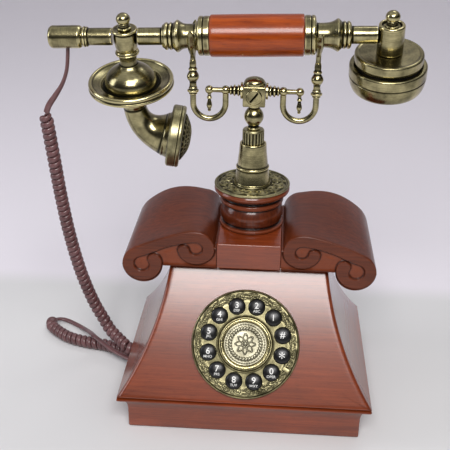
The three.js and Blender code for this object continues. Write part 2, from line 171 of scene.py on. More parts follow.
def hollowness(p, reach=1.3):
    """How far each profile point lies behind the mean of its neighbours, measured along the outward normal and
    divided by a quarter of a millimetre. The mean's weights fall off as a bell curve of the distance."""
    seg = np.linalg.norm(np.diff(p, axis=0), axis=1)
    s = np.concatenate([[0], np.cumsum(seg)])
    weight = np.exp(-(((s[:, None] - s[None, :]) / reach) ** 2))
    share = np.gradient(s) if len(s) > 2 else np.ones(len(s))
    weight *= np.abs(share)[None, :] + 1e-9
    mean = weight @ p / weight.sum(1, keepdims=True)
    tangent = np.gradient(p, axis=0)
    tangent /= np.linalg.norm(tangent, axis=1, keepdims=True) + 1e-12
    normal = np.stack([tangent[:, 1], -tangent[:, 0]], -1)
    value = ((mean - p) * normal).sum(1) / 0.25
    value[:2] = value[-2:] = 0
    return np.clip(value, -1, 1), s


def revolve(profile, segments=64, step=0.9, corner=0.35, closed=False, lift=None, swell=None):
    """Surface of revolution: the profile's point (r, h) at the angle a is (r cos a, r sin a, h). lift(a, r) adds to
    h and swell(a, h) adds to r. The profile runs from the bottom up, outside to the right."""
    p = resample(rounded(profile, corner), step)
    a = np.linspace(0, TAU, segments, endpoint=False)[None, :]
    hollow, s = hollowness(p)
    r, h = p[:, 0, None] + 0 * a, p[:, 1, None] + 0 * a
    mark = hollow[:, None] + 0 * a
    if lift is not None:
        rise, dark = lift(a + 0 * r, r)
        h, mark = h + rise, np.maximum(mark, dark)
    if swell is not None:
        grow, dark = swell(a + 0 * r, h)
        r, mark = r + grow, np.maximum(mark, dark)
    points = np.stack([r * np.cos(a), r * np.sin(a), h], -1)
    return grid(points, mark, s[:, None] + 0 * a, ring=closed)


def turned(profile, segments=48, step=0.9, corner=0.3, swell=None):
    """The same along +X: pairs (x, r) from left to right, closed with flat ends."""
    rows = [(0, profile[0][0])] + [(r, x) for x, r in profile] + [(0, profile[-1][0])]
    return revolve(rows, segments, step, corner, swell=swell).moved(lambda v: v[:, [2, 0, 1]])


def rectangle(x0, x1, y0, y1, corner, per_side=16, per_corner=5):
    """Closed outline of a rectangle with round corners, the same number of points whatever its size."""
    out = []
    for k, (cx, cy) in enumerate([(x1 - corner, y0 + corner), (x1 - corner, y1 - corner),
                                  (x0 + corner, y1 - corner), (x0 + corner, y0 + corner)]):
        a = (-90 + 90 * k + np.linspace(0, 90, per_corner)) * DEG
        out.append(np.stack([cx + corner * np.cos(a), cy + corner * np.sin(a)], -1))
    sides = []
    for k in range(4):
        start, end = out[k][-1], out[(k + 1) % 4][0]
        t = np.linspace(0, 1, per_side + 2)[1:-1, None]
        sides += [out[k], start + (end - start) * t]
    return np.vstack(sides)


def slab(x0, x1, y0, y1, z0, z1, edge=0.6, per_side=16):
    """Box with round edges: round-cornered rectangles stacked along a profile that rounds in at both ends."""
    a = np.linspace(0, 90, 4) * DEG
    rows = [(edge * (1 - math.sin(t)), z0 + edge * (1 - math.cos(t))) for t in a]
    rows += [(edge * (1 - math.cos(t)), z1 - edge * (1 - math.sin(t))) for t in a]
    rings = []
    for inset, z in rows:
        ring = rectangle(x0 + inset, x1 - inset, y0 + inset, y1 - inset, max(edge - 0.5 * inset, 0.05), per_side)
        rings.append(np.column_stack([ring, np.full(len(ring), z)]))
    return grid(np.array(rings), caps=True)


def sweep(path, radius, wide=None, ratio=1.0, sides=14):
    """Tube along a path: the ring at each point is an ellipse across the tangent, radius times ratio along the
    thin axis. The axes follow the wide directions given, or are carried along the path without twist."""
    p = np.asarray(path, float)
    t = np.gradient(p, axis=0)
    t /= np.linalg.norm(t, axis=1, keepdims=True)
    if wide is None:
        first = np.cross(t[0], [0, 1, 0] if abs(t[0][1]) < 0.9 else [1, 0, 0])
        carried = [first / np.linalg.norm(first)]
        for k in range(1, len(p)):
            v = carried[-1] - np.dot(carried[-1], t[k]) * t[k]
            carried.append(v / np.linalg.norm(v))
        u = np.array(carried)
    else:
        u = wide - (wide * t).sum(1, keepdims=True) * t
        u /= np.linalg.norm(u, axis=1, keepdims=True)
    v = np.cross(t, u)
    a = np.linspace(0, TAU, sides, endpoint=False)
    r = np.broadcast_to(np.asarray(radius, float), (len(p),))[:, None, None]
    thin = r * np.broadcast_to(np.asarray(ratio, float), (len(p),))[:, None, None]
    c, s = np.cos(a)[None, :, None], np.sin(a)[None, :, None]
    points = p[:, None, :] + r * c * u[:, None, :] + thin * s * v[:, None, :]
    s_along = np.concatenate([[0], np.cumsum(np.linalg.norm(np.diff(p, axis=0), axis=1))])
    return grid(points, None, s_along[:, None] + 0 * a[None, :], caps=True)


def ball(r, centre):
    """Sphere turned from a half circle."""
    a = np.linspace(-90, 90, 17) * DEG
    return revolve(np.stack([r * np.cos(a).clip(0), r * np.sin(a)], -1), 28).moved(shifted(*centre))


def finish_mesh(name, surfaces, sharp=CRISP):
    """One object from the surfaces: points closer than a micron are merged, the normals point out, and edges
    sharper than the angle stay crisp."""
    points = np.vstack([s.points for s in surfaces]) * MM
    faces, start = [], 0
    for s in surfaces:
        faces += [[k + start for k in f] for f in s.faces]
        start += len(s.points)
    mesh = bpy.data.meshes.new(name)
    mesh.from_pydata(points.tolist(), [], faces)
    for label in ("hollow", "along"):
        values = np.concatenate([getattr(s, label) for s in surfaces]).astype(np.float32)
        mesh.attributes.new(label, "FLOAT", "POINT").data.foreach_set("value", values)
    b = bmesh.new()
    b.from_mesh(mesh)
    bmesh.ops.remove_doubles(b, verts=b.verts, dist=1e-6)
    bmesh.ops.dissolve_degenerate(b, edges=b.edges, dist=1e-7)
    bmesh.ops.recalc_face_normals(b, faces=b.faces)
    b.to_mesh(mesh)
    b.free()
    mesh.shade_smooth()
    mesh.set_sharp_from_angle(angle=sharp * DEG)
    obj = bpy.data.objects.new(name, mesh)
    bpy.context.scene.collection.objects.link(obj)
    return obj


def piece(name, surfaces, finish, body, stands_for=()):
    """A finished piece: its mesh, its finish, the body that it rides on and the frame's nodes it stands for."""
    obj = finish_mesh(name, surfaces if isinstance(surfaces, list) else [surfaces])
    return settle(obj, finish, body, stands_for)


def settle(obj, finish, body, stands_for=()):
    """Gives a mesh its material and puts it on its body."""
    obj.data.materials.clear()
    obj.data.materials.append(finishes()[finish])
    if stands_for:
        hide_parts(*stands_for)
    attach(obj, body)
    return obj


def carve(obj, cutters):
    """Takes the cutters' solids out of the object's mesh, and keeps the result as its mesh."""
    for c in cutters:
        m = obj.modifiers.new("cut", "BOOLEAN")
        m.operation, m.solver, m.object = "DIFFERENCE", "EXACT", c
    bpy.context.view_layer.update()
    new = bpy.data.meshes.new_from_object(obj.evaluated_get(bpy.context.evaluated_depsgraph_get()))
    obj.modifiers.clear()
    obj.data = new
    new.shade_smooth()
    new.set_sharp_from_angle(angle=CRISP * DEG)
    for c in cutters:
        bpy.data.objects.remove(c)


def on_panel(v):
    """From the dial's own axes (x, up along the panel, out of it) to the frame."""
    x, up, out = v[:, 0], v[:, 1], v[:, 2]
    y = FLARE["front"] + (DIAL_UP + up) * math.sin(LEAN) - out * math.cos(LEAN)
    z = FLARE["z"] + (DIAL_UP + up) * math.cos(LEAN) + out * math.sin(LEAN)
    return np.stack([x, y, z], -1)


def on_handset(v):
    """From the handset's own axes (x along the grip, z up) to the frame: roll about x, tilt about y, then up."""
    r, t = ROLL * DEG, -TILT * DEG
    x, y = v[:, 0], v[:, 1] * math.cos(r) - v[:, 2] * math.sin(r)
    z = v[:, 1] * math.sin(r) + v[:, 2] * math.cos(r)
    return np.stack([x * math.cos(t) + z * math.sin(t), y, z * math.cos(t) - x * math.sin(t) + HANDSET_Z], -1)


def shifted(x=0, y=0, z=0):
    """A move by a fixed distance, for Surface.moved."""
    return lambda v: v + np.array([x, y, z])


# ---- materials ----------------------------------------------------------------------------------
def linear(colour):
    """sRGB hex to the linear values that the shader takes."""
    parts = [int(colour[i:i + 2], 16) / 255 for i in (1, 3, 5)]
    return [c / 12.92 if c <= 0.04045 else ((c + 0.055) / 1.055) ** 2.4 for c in parts] + [1]


def new_material(name):
    """An empty material and its node tree."""
    m = bpy.data.materials.new(name)
    m.use_nodes = True
    m.node_tree.nodes.clear()
    return m, m.node_tree


def node(tree, kind, links=None, stops=None, **settings):
    """Adds one node. Settings are its properties, or its sockets' values where the name is a socket's. Links map an
    input's name or number to the output socket that feeds it or to a fixed value, with a hex value made linear.
    Stops are a colour ramp's places and their hex or grey values."""
    n = tree.nodes.new(kind)
    for key, value in settings.items():
        if hasattr(n, key):
            setattr(n, key, value)
        else:
            n.inputs[key.replace("_", " ")].default_value = value
    for key, source in (links or {}).items():
        if isinstance(source, bpy.types.NodeSocket):
            tree.links.new(source, n.inputs[key])
        else:
            n.inputs[key].default_value = linear(source) if isinstance(source, str) else source
    for k, (at, value) in enumerate(stops or ()):
        stop = n.color_ramp.elements[k] if k < 2 else n.color_ramp.elements.new(1.0)
        stop.position, stop.color = at, linear(value) if isinstance(value, str) else [value] * 3 + [1]
    return n


def grain_space(tree, scale):
    """Object coordinates stretched to a pattern whose features measure the given millimetres along x, y and z."""
    here = node(tree, "ShaderNodeTexCoord").outputs["Object"]
    return node(tree, "ShaderNodeMapping", {"Vector": here, "Scale": [1000 / v for v in scale]}).outputs[0]


def lacquered_wood(name, dark, mid, light, edge, grain, coat_rough=0.16, coat=1.0, gloss=1.5, rough=0.42,
                   figure=26.0):
    """Stained mahogany or beech under a clear gloss lacquer: long soft fibres, short dark pores, slow figure across
    the board, painted shade in its creases, recesses and round edges, and a mirror-like coat over it all."""
    m, t = new_material(name)
    fibre = node(t, "ShaderNodeTexNoise", {"Vector": grain_space(t, grain)}, Scale=1.0, Detail=6.0, Roughness=0.62,
                 Distortion=0.35)
    broad = grain_space(t, [figure * (2.4 if s > 20 else 1) for s in grain])
    slow = node(t, "ShaderNodeTexNoise", {"Vector": broad}, Scale=1.0, Detail=3.0, Roughness=0.5, Distortion=0.8)
    short = grain_space(t, [5.5 if s > 20 else 0.42 for s in grain])
    pores = node(t, "ShaderNodeTexNoise", {"Vector": short}, Scale=1.0, Detail=2.0, Roughness=0.6)
    body = node(t, "ShaderNodeValToRGB", {"Fac": fibre.outputs["Fac"]}, [(0.2, dark), (0.82, light), (0.5, mid)])
    wave = node(t, "ShaderNodeValToRGB", {"Fac": slow.outputs["Fac"]}, [(0.3, 0.66), (0.7, 1.1)])
    body = node(t, "ShaderNodeMix", {0: 0.75, 6: body.outputs["Color"], 7: wave.outputs["Color"]},
                data_type="RGBA", blend_type="MULTIPLY")
    pore = node(t, "ShaderNodeValToRGB", {"Fac": pores.outputs["Fac"]}, [(0.57, 1.0), (0.68, 0.5)])
    body = node(t, "ShaderNodeMix", {0: 0.6, 6: body.outputs[2], 7: pore.outputs["Color"]},
                data_type="RGBA", blend_type="MULTIPLY")
    mark = node(t, "ShaderNodeAttribute", attribute_name="hollow")
    sunk = node(t, "ShaderNodeMapRange", {"Value": mark.outputs["Fac"]}, From_Min=-0.1, From_Max=-0.6, To_Max=0.45)
    body = node(t, "ShaderNodeMix", {0: sunk.outputs["Result"], 6: body.outputs[2], 7: "#8a4222"}, data_type="RGBA")
    # Painted shade: where the hollow mark rises above 0.15 the colour is mixed towards the edge colour, so creases,
    # recesses, round edges and the plinth's foot are darkened.
    shade = node(t, "ShaderNodeMapRange", {"Value": mark.outputs["Fac"]}, From_Min=0.15, From_Max=1.0)
    body = node(t, "ShaderNodeMix", {0: shade.outputs["Result"], 6: body.outputs[2], 7: edge}, data_type="RGBA")
    uneven = node(t, "ShaderNodeMapRange", {"Value": slow.outputs["Fac"]}, To_Min=rough - 0.08, To_Max=rough + 0.1)
    relief = node(t, "ShaderNodeMath", {0: fibre.outputs["Fac"], 1: pores.outputs["Fac"]}, operation="ADD")
    bump = node(t, "ShaderNodeBump", {"Height": relief.outputs[0]}, Strength=0.1, Distance=0.0001)
    skin = node(t, "ShaderNodeBsdfPrincipled", {"Base Color": body.outputs[2], "Roughness": uneven.outputs["Result"],
                                                "Normal": bump.outputs["Normal"]}, IOR=1.5, Specular_IOR_Level=0.15,
                Coat_Weight=coat, Coat_Roughness=coat_rough, Coat_IOR=gloss)
    node(t, "ShaderNodeOutputMaterial", {"Surface": skin.outputs["BSDF"]})
    return m


def antique_brass(name, dark, mid, light, rough=0.17):
    """Antiqued brass casting, turned and wiped back: dark olive patina left in the hollows, paler metal on the
    worn edges, cloudy tarnish in between and turning lines that follow each part round."""
    m, t = new_material(name)
    cloud = node(t, "ShaderNodeTexNoise", {"Vector": grain_space(t, [9, 9, 9])}, Scale=1.0, Detail=5.0, Roughness=0.6)
    fine = node(t, "ShaderNodeTexNoise", {"Vector": grain_space(t, [0.7] * 3)}, Scale=1.0, Detail=3.0)
    ringed = node(t, "ShaderNodeAttribute", attribute_name="along")
    lines = node(t, "ShaderNodeTexNoise", {"W": ringed.outputs["Fac"]}, noise_dimensions="1D", Scale=1.7, Detail=3.0)
    base = node(t, "ShaderNodeValToRGB", {"Fac": cloud.outputs["Fac"]}, [(0.18, dark), (0.85, light), (0.52, mid)])
    mark = node(t, "ShaderNodeAttribute", attribute_name="hollow")
    worn = node(t, "ShaderNodeMapRange", {"Value": mark.outputs["Fac"]}, From_Min=-0.25, From_Max=-1.0)
    base = node(t, "ShaderNodeMix", {0: worn.outputs["Result"], 6: base.outputs["Color"], 7: light}, data_type="RGBA")
    streak = node(t, "ShaderNodeValToRGB", {"Fac": lines.outputs["Fac"]}, [(0.3, 0.62), (0.62, 1.0)])
    base = node(t, "ShaderNodeMix", {0: 0.8, 6: base.outputs[2], 7: streak.outputs["Color"]}, data_type="RGBA",
                blend_type="MULTIPLY")
    ragged = node(t, "ShaderNodeMath", {0: fine.outputs["Fac"], 1: 0.24, 2: mark.outputs["Fac"]},
                  operation="MULTIPLY_ADD")
    patina = node(t, "ShaderNodeMapRange", {"Value": ragged.outputs[0]}, From_Min=0.2, From_Max=0.76)
    base = node(t, "ShaderNodeMix", {0: patina.outputs["Result"], 6: base.outputs[2], 7: dark}, data_type="RGBA")
    uneven = node(t, "ShaderNodeMapRange", {"Value": cloud.outputs["Fac"]}, To_Min=rough + 0.12, To_Max=rough - 0.06)
    dull = node(t, "ShaderNodeMath", {0: patina.outputs["Result"], 1: 0.25, 2: uneven.outputs["Result"]},
                operation="MULTIPLY_ADD")
    height = node(t, "ShaderNodeMath", {0: lines.outputs["Fac"], 1: fine.outputs["Fac"]}, operation="ADD")
    bump = node(t, "ShaderNodeBump", {"Height": height.outputs[0]}, Strength=0.1, Distance=0.0001)
    skin = node(t, "ShaderNodeBsdfPrincipled", {"Base Color": base.outputs[2], "Roughness": dull.outputs[0],
                                                "Normal": bump.outputs["Normal"]}, Metallic=1.0)
    node(t, "ShaderNodeOutputMaterial", {"Surface": skin.outputs["BSDF"]})
    return m


def plain(name, low, high, rough, grain=(1.2, 1.2, 1.2), coat=0.0, metallic=0.0, strength=0.08):
    """An even body colour that drifts slightly, with a fine skin texture: moulded plastic, rubber, ink, paper or
    drawn metal."""
    m, t = new_material(name)
    skin = node(t, "ShaderNodeTexNoise", {"Vector": grain_space(t, grain)}, Scale=1.0, Detail=4.0)
    slow = node(t, "ShaderNodeTexNoise", {"Vector": grain_space(t, [10 * v for v in grain])}, Scale=1.0, Detail=2.0)
    colour = node(t, "ShaderNodeValToRGB", {"Fac": slow.outputs["Fac"]}, [(0.3, low), (0.7, high)])
    uneven = node(t, "ShaderNodeMapRange", {"Value": skin.outputs["Fac"]}, To_Min=rough - 0.07, To_Max=rough + 0.08)
    bump = node(t, "ShaderNodeBump", {"Height": skin.outputs["Fac"]}, Strength=strength, Distance=0.0001)
    body = node(t, "ShaderNodeBsdfPrincipled", {"Base Color": colour.outputs["Color"],
                                                "Normal": bump.outputs["Normal"],
                                                "Roughness": uneven.outputs["Result"]}, Metallic=metallic,
                Coat_Weight=coat, Coat_Roughness=0.08)
    node(t, "ShaderNodeOutputMaterial", {"Surface": body.outputs["BSDF"]})
    return m


def solder_mask(name):
    """Green solder mask over glass-fibre board: paler copper tracks under it on a 2.5 mm grid."""
    m, t = new_material(name)
    cells = node(t, "ShaderNodeTexVoronoi", {"Vector": grain_space(t, [2.5] * 3)}, distance="MANHATTAN",
                 feature="DISTANCE_TO_EDGE", Scale=1.0)
    edge = cells.outputs["Distance"]
    tracks = node(t, "ShaderNodeValToRGB", {"Fac": edge}, [(0.08, "#2f7a48"), (0.12, "#174a2b")])
    uneven = node(t, "ShaderNodeMapRange", {"Value": edge}, To_Min=0.36, To_Max=0.46)
    bump = node(t, "ShaderNodeBump", {"Height": edge}, Strength=0.1, Distance=0.0001)
    skin = node(t, "ShaderNodeBsdfPrincipled", {"Base Color": tracks.outputs["Color"],
                                                "Normal": bump.outputs["Normal"],
                                                "Roughness": uneven.outputs["Result"]}, Coat_Weight=0.4)
    node(t, "ShaderNodeOutputMaterial", {"Surface": skin.outputs["BSDF"]})
    return m


MATERIALS = {}


def finishes():
    """The phone's finishes, made once."""
    if MATERIALS:
        return MATERIALS
    c = bpy.context.scene.phone_finish
    wood = (linear_hex(c.wood_dark), linear_hex(c.wood_mid), linear_hex(c.wood_light))
    # The fourth colour of each wood finish is its painted shade for creases, recesses and round edges.
    MATERIALS.update(
        front=lacquered_wood("lacquered_mahogany_front", *wood, "#2a0f0a", [46, 1.5, 1.3], 0.18, 1.0, 1.62),
        side=lacquered_wood("lacquered_mahogany_sides", *wood, "#2a0f0a", [1.5, 46, 2.2]),
        shoulder=lacquered_wood("lacquered_mahogany_shoulders", "#451a0a", "#632a12", "#753619", "#1a0806",
                                [52, 2.2, 1.6], 0.26, 0.5, figure=30.0),
        collar=lacquered_wood("lacquered_mahogany_turned", "#381407", "#52200b", "#672c12", "#140603", [1.8, 1.8, 40],
                              0.16, 0.8),
        grip=lacquered_wood("lacquered_beech_grip", "#6b1e01", "#9a3a02", "#b95206", "#3d1003", [34, 2.6, 2.6], 0.18,
                            0.65, rough=0.34, figure=14.0),
        brass=antique_brass("antique_brass_turned", "#1b190f", linear_hex(c.brass_mid), linear_hex(c.brass_light)),
        cast=antique_brass("antique_brass_cast", "#282414", "#aa9d6c", "#e0d7a6", 0.34),
        medal=antique_brass("antique_brass_pale", "#4c4733", "#cac5a4", "#efeace", 0.4),
        key=plain("gloss_black_key_plastic", "#060607", "#0c0c0e", 0.34, (0.8, 0.8, 0.8), 0.12, strength=0.03),
        legend=plain("white_pad_printed_ink", "#dededa", "#eeeeea", 0.5, (0.5, 0.5, 0.5)),
        black=plain("black_moulded_abs", "#0d0d0e", "#171719", 0.42),
        cord=plain("brown_flexible_vinyl", "#563839", "#6d4a4b", 0.38, (0.9, 0.9, 0.9), 0.2, strength=0.12),
        board=solder_mask("green_circuit_board"),
        steel=plain("zinc_plated_steel", "#7d7f82", "#a9abae", 0.36, (0.4, 0.4, 9), metallic=1.0),
        rubber=plain("dark_moulded_rubber", "#1b1b1b", "#262626", 0.75, (1, 1, 1)),
        felt=plain("dark_fibre_board", "#2b211c", "#3a2d26", 0.85, (0.6, 0.6, 0.6), strength=0.4),
    )
    return MATERIALS


def linear_hex(colour):
    """A colour property, kept as display values, as a hex value."""
    return "#" + "".join(f"{round(c * 255):02x}" for c in colour[:3])


# ---- cord ---------------------------------------------------------------------------------------
LEAD = [(-125.3, 2, 251), (-125.7, 2, 246), (-127.4, 2, 235.2), (-130.8, 1.2, 226.4), (-135.7, 0.4, 218.9),
        (-141.2, 0, 211), (-143.2, 0, 204.9)]
CURL = [(-142.6, 2, 187.6), (-141.4, 4, 168.9), (-139.9, 8, 140), (-136.7, 12, 106.2), (-130.7, 15.8, 70.7),
        (-122.4, 18.6, 42), (-116.2, 18, 29.6), (-110.8, 14.6, 22.2), (-105.3, 10.9, 18.4), (-100.5, 7, 16.4),
        (-96.6, 3.2, 15.3), (-92.8, 1.2, 13.2), (-91, 2, 9.8), (-92.2, 5.6, 6), (-96.4, 9.4, 4.8),
        (-101, 11.9, 4.8), (-107.6, 14.6, 4.8), (-116.6, 17.9, 4.8), (-125, 19.2, 4.8), (-134.7, 21.6, 4.8),
        (-142, 23.8, 4.8), (-149.3, 27.1, 4.8), (-157.5, 33.2, 4.8), (-164.2, 39.5, 4.8), (-167.8, 45.4, 4.8),
        (-167.2, 51, 4.8)]
TAIL = [(-165.4, 54.6, 3.6), (-161.6, 57.2, 2.4), (-156.8, 56.4, 1.7), (-149.5, 51.9, 1.7), (-141.8, 45.2, 2.6),
        (-134.2, 34.8, 6.2), (-129, 26, 9.6), (-124.6, 18.6, 11.6), (-116.3, 11.6, 10.4), (-105.8, 4, 8.6),
        (-94.6, -3.6, 8.4), (-85.2, -9.2, 8.6)]


def ease(x):
    """Smooth step from 0 to 1."""
    x = np.clip(x, 0, 1)
    return x * x * (3 - 2 * x)


def build_cord(width, thick, coil_out, pitch):
    """Flat cord wound round its route: at the distance s along the route the strand's centre is the route's point
    plus the coil's radius times (cos, sin) of 2 pi s / pitch across it, and the radius eases from nothing on the
    straight ends to the coil's own. The strand's width lies along the route in the coil."""
    route = resample(curve(LEAD + CURL + TAIL, 16), 0.4)
    seg = np.linalg.norm(np.diff(route, axis=0), axis=1)
    s = np.concatenate([[0], np.cumsum(seg)])
    total = s[-1]
    begin = s[np.argmin(np.linalg.norm(route - LEAD[-1], axis=1))]
    end = s[len(route) // 2 + np.argmin(np.linalg.norm(route[len(route) // 2:] - CURL[-1], axis=1))]
    turns = (end - begin) / pitch
    u = np.concatenate([np.linspace(0, begin, 28, endpoint=False),
                        np.linspace(begin, end, int(turns * 20), endpoint=False), np.linspace(end, total, 80)])
    at = np.stack([np.interp(u, s, route[:, k]) for k in range(3)], -1)
    t = np.gradient(at, u, axis=0)
    t /= np.linalg.norm(t, axis=1, keepdims=True)
    n = [np.array([0.0, 1.0, 0.0])]
    for k in range(len(u)):
        v = n[-1] - np.dot(n[-1], t[k]) * t[k]
        n.append(v / np.linalg.norm(v))
    n = np.array(n[1:])
    b = np.cross(t, n)
    grow = ease((u - begin + 1.0) / (0.9 * pitch)) * ease((end + 1.0 - u) / (0.9 * pitch))
    phase = TAU * (u - begin) / pitch
    radius = (coil_out - thick) / 2 * grow
    path = at + radius[:, None] * (np.cos(phase)[:, None] * n + np.sin(phase)[:, None] * b)
    level = np.cross([0, 0, 1], t)
    level /= np.linalg.norm(level, axis=1, keepdims=True) + 1e-9
    lead_twist = ease((begin - u) / begin * 1.3)[:, None]
    loose_top = lead_twist * np.array([0.0, 1.0, 0.0]) + (1 - lead_twist) * np.array([1.0, 0.0, 0.0])
    loose = np.where((u < begin)[:, None], loose_top, level)
    wide = grow[:, None] * t + (1 - grow[:, None]) * loose
    surface = sweep(path, width / 2, wide, thick / width, 12)
    return surface, path


class PHONE_OT_cord(bpy.types.Operator):
    """Adds the flat curly cord from the handset's cord cap to the base."""

    bl_idname = "phone.cord"
    bl_label = "Curly cord"

    def execute(self, context):
        c = context.scene.phone_sizes
        width, thick = c.cord_width / MM, c.cord_thickness / MM
        surface, path = build_cord(width, thick, c.coil_diameter / MM, c.coil_pitch / MM)
        obj = finish_mesh("curly_cord", [surface], 60)
        obj.data.materials.append(finishes()["cord"])
        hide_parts("cord_lead", "cord_curl", "cord_tail")
        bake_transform(obj)
        return {"FINISHED"}


# ---- wooden base --------------------------------------------------------------------------------
def side_curve(t):
    """Half width and height of the concave side: a quadratic curve from the flare to the top."""
    t = np.asarray(t, float)
    x = (1 - t) ** 2 * FLARE["x"] + 2 * t * (1 - t) * SIDE_BEND[0] + t * t * TOP["x"]
    z = (1 - t) ** 2 * FLARE["z"] + 2 * t * (1 - t) * SIDE_BEND[1] + t * t * TOP["z"]
    return x, z


def panel_outline(out, inset):
    """The front board's outline at a depth below its face, in the dial's axes, moved inwards by inset."""
    t = np.linspace(0, 1, 60)
    x, z = side_curve(t)
    up = (z - FLARE["z"] - out * math.sin(LEAN)) / math.cos(LEAN) - DIAL_UP
    right = np.stack([x, up], -1)
    left = right[::-1] * [-1, 1]
    top = np.stack([np.linspace(right[-1, 0], left[0, 0], 42)[1:-1], np.full(40, right[-1, 1])], -1)
    bottom = np.stack([np.linspace(left[-1, 0], right[0, 0], 62)[1:-1], np.full(60, right[0, 1])], -1)
    ring = np.vstack([right, top, left, bottom])
    lo_x = np.interp(ring[:, 1], right[:, 1], right[:, 0])
    low, high = right[0, 1], right[-1, 1]
    shrink = 1 - inset / np.maximum(lo_x, 1)
    return np.stack([ring[:, 0] * shrink, np.clip(ring[:, 1], low + inset, high - inset)], -1)


def front_board():
    """Closed frame between the dial's round hole and the outline: rows run from the hole over the face, round the
    edge, down the side and back underneath."""
    edge = panel_outline(0, 0)
    angle = np.arctan2(edge[:, 1], edge[:, 0])
    hole = DIAL_HOLE * np.stack([np.cos(angle), np.sin(angle)], -1)
    # The third value of each row is its mark for the wood finish: painted shade, faint in the dial's hole, growing
    # round the edge and deepest on the board's side and back.
    rows = [(hole, -WALL, 0.2), (hole, 0.0, 0.2)]
    shoulder = panel_outline(0, EDGE)
    for f in np.linspace(0.1, 1, 14):
        rows.append((hole + (shoulder - hole) * f, 0.0, 0.0))
    for a in np.linspace(15, 90, 6) * DEG:
        deep = -EDGE * (1 - math.cos(a))
        rows.append((panel_outline(deep, EDGE * (1 - math.sin(a))), deep, 0.25 * math.sin(a)))
    rows.append((panel_outline(-WALL, 0), -WALL, 0.6))
    points = np.array([np.column_stack([xy, np.full(len(xy), out)]) for xy, out, _ in rows])
    hollow = np.array([np.full(len(xy), mark) for xy, _, mark in rows])
    return grid(points, hollow, ring=True).moved(on_panel)


def cabinet_wall():
    """U-shaped wall behind the front board: at each height, the outline runs along one side, the back and the other
    side, then returns inside it; the heights are skinned and the two ends closed."""
    rows = []
    for t in np.linspace(0, 1, 48):
        x, z = (float(v) for v in side_curve(t))
        front = FLARE["front"] + (z - FLARE["z"]) * math.tan(LEAN) + (WALL + GAP) / math.cos(LEAN)
        back = x - (FLARE["x"] - FLARE["back"])
        ring = []
        for inset, corner in ((0, 1.5), (WALL, 0.5)):
            w, b = x - inset, back - inset
            a = np.linspace(0, 90, 6) * DEG
            right = np.stack([np.full(12, w), np.linspace(front, b - corner, 12)], -1)
            turn = np.stack([w - corner + corner * np.cos(a), b - corner + corner * np.sin(a)], -1)
            half = np.vstack([right, turn])
            ring.append(np.vstack([half, half[::-1] * [-1, 1]]))
        loop = np.vstack([ring[0], ring[1][::-1]])
        rows.append(np.column_stack([loop, np.full(len(loop), z)]))
    wall = grid(np.array(rows))
    n, last = len(rows[0]), (len(rows) - 1) * len(rows[0])
    for k in range(n // 2 - 1):
        cap = [k, k + 1, n - 2 - k, n - 1 - k]
        wall.faces += [cap[::-1], [c + last for c in cap]]
    return wall


def plinth_wall():
    """Rectangular frame under the flare: a profile of (offset, height) pairs goes up the straight face, out along
    the cove and back down inside, and each pair is one rectangle."""
    p, a = PLINTH, np.linspace(0, 90, 12) * DEG
    out = FLARE["x"] - p["x"]
    profile = [(-0.7, 0), (-0.2, 0.2), (0, 0.7), (0, 7), (0, p["straight"])]
    climb = p["top"] - 1.1 - p["straight"]
    profile += [(out * (1 - math.cos(t)), p["straight"] + climb * math.sin(t)) for t in a[1:]]
    profile += [(out, p["top"] - 0.5), (out - 0.3, p["top"]), (-WALL, p["top"]), (-WALL, 0)]
    rows, marks = [], []
    for e, z in profile:
        ring = rectangle(-p["x"] - e, p["x"] + e, p["front"] - e, p["back"] + e, 1.2 if e > -1 else 0.4, 30)
        rows.append(np.column_stack([ring, np.full(len(ring), z)]))
        # The rows at the floor are marked 0.45: painted shade along the plinth's foot.
        marks.append(np.full(len(ring), 0.45 if z < 0.5 else 0.0))
    return grid(np.array(rows), np.array(marks), ring=True)


def volute(centre, a0, a1, r0, r1, count=120):
    """Points (x, z) of a spiral whose radius goes evenly from r0 to r1 between two angles in degrees."""
    f = np.linspace(0, 1, count)[:, None]
    a = (a0 + (a1 - a0) * f) * DEG
    r = r0 + (r1 - r0) * f
    return np.hstack([centre[0] + r * np.cos(a), centre[1] + r * np.sin(a)])


def distance_to(points, line):
    """Smallest distance from each point to the line's points, in blocks to save memory."""
    return np.concatenate([np.sqrt(((p[:, None, :] - line[None]) ** 2).sum(-1)).min(1)
                           for p in np.array_split(points, max(1, len(points) // 4000))])


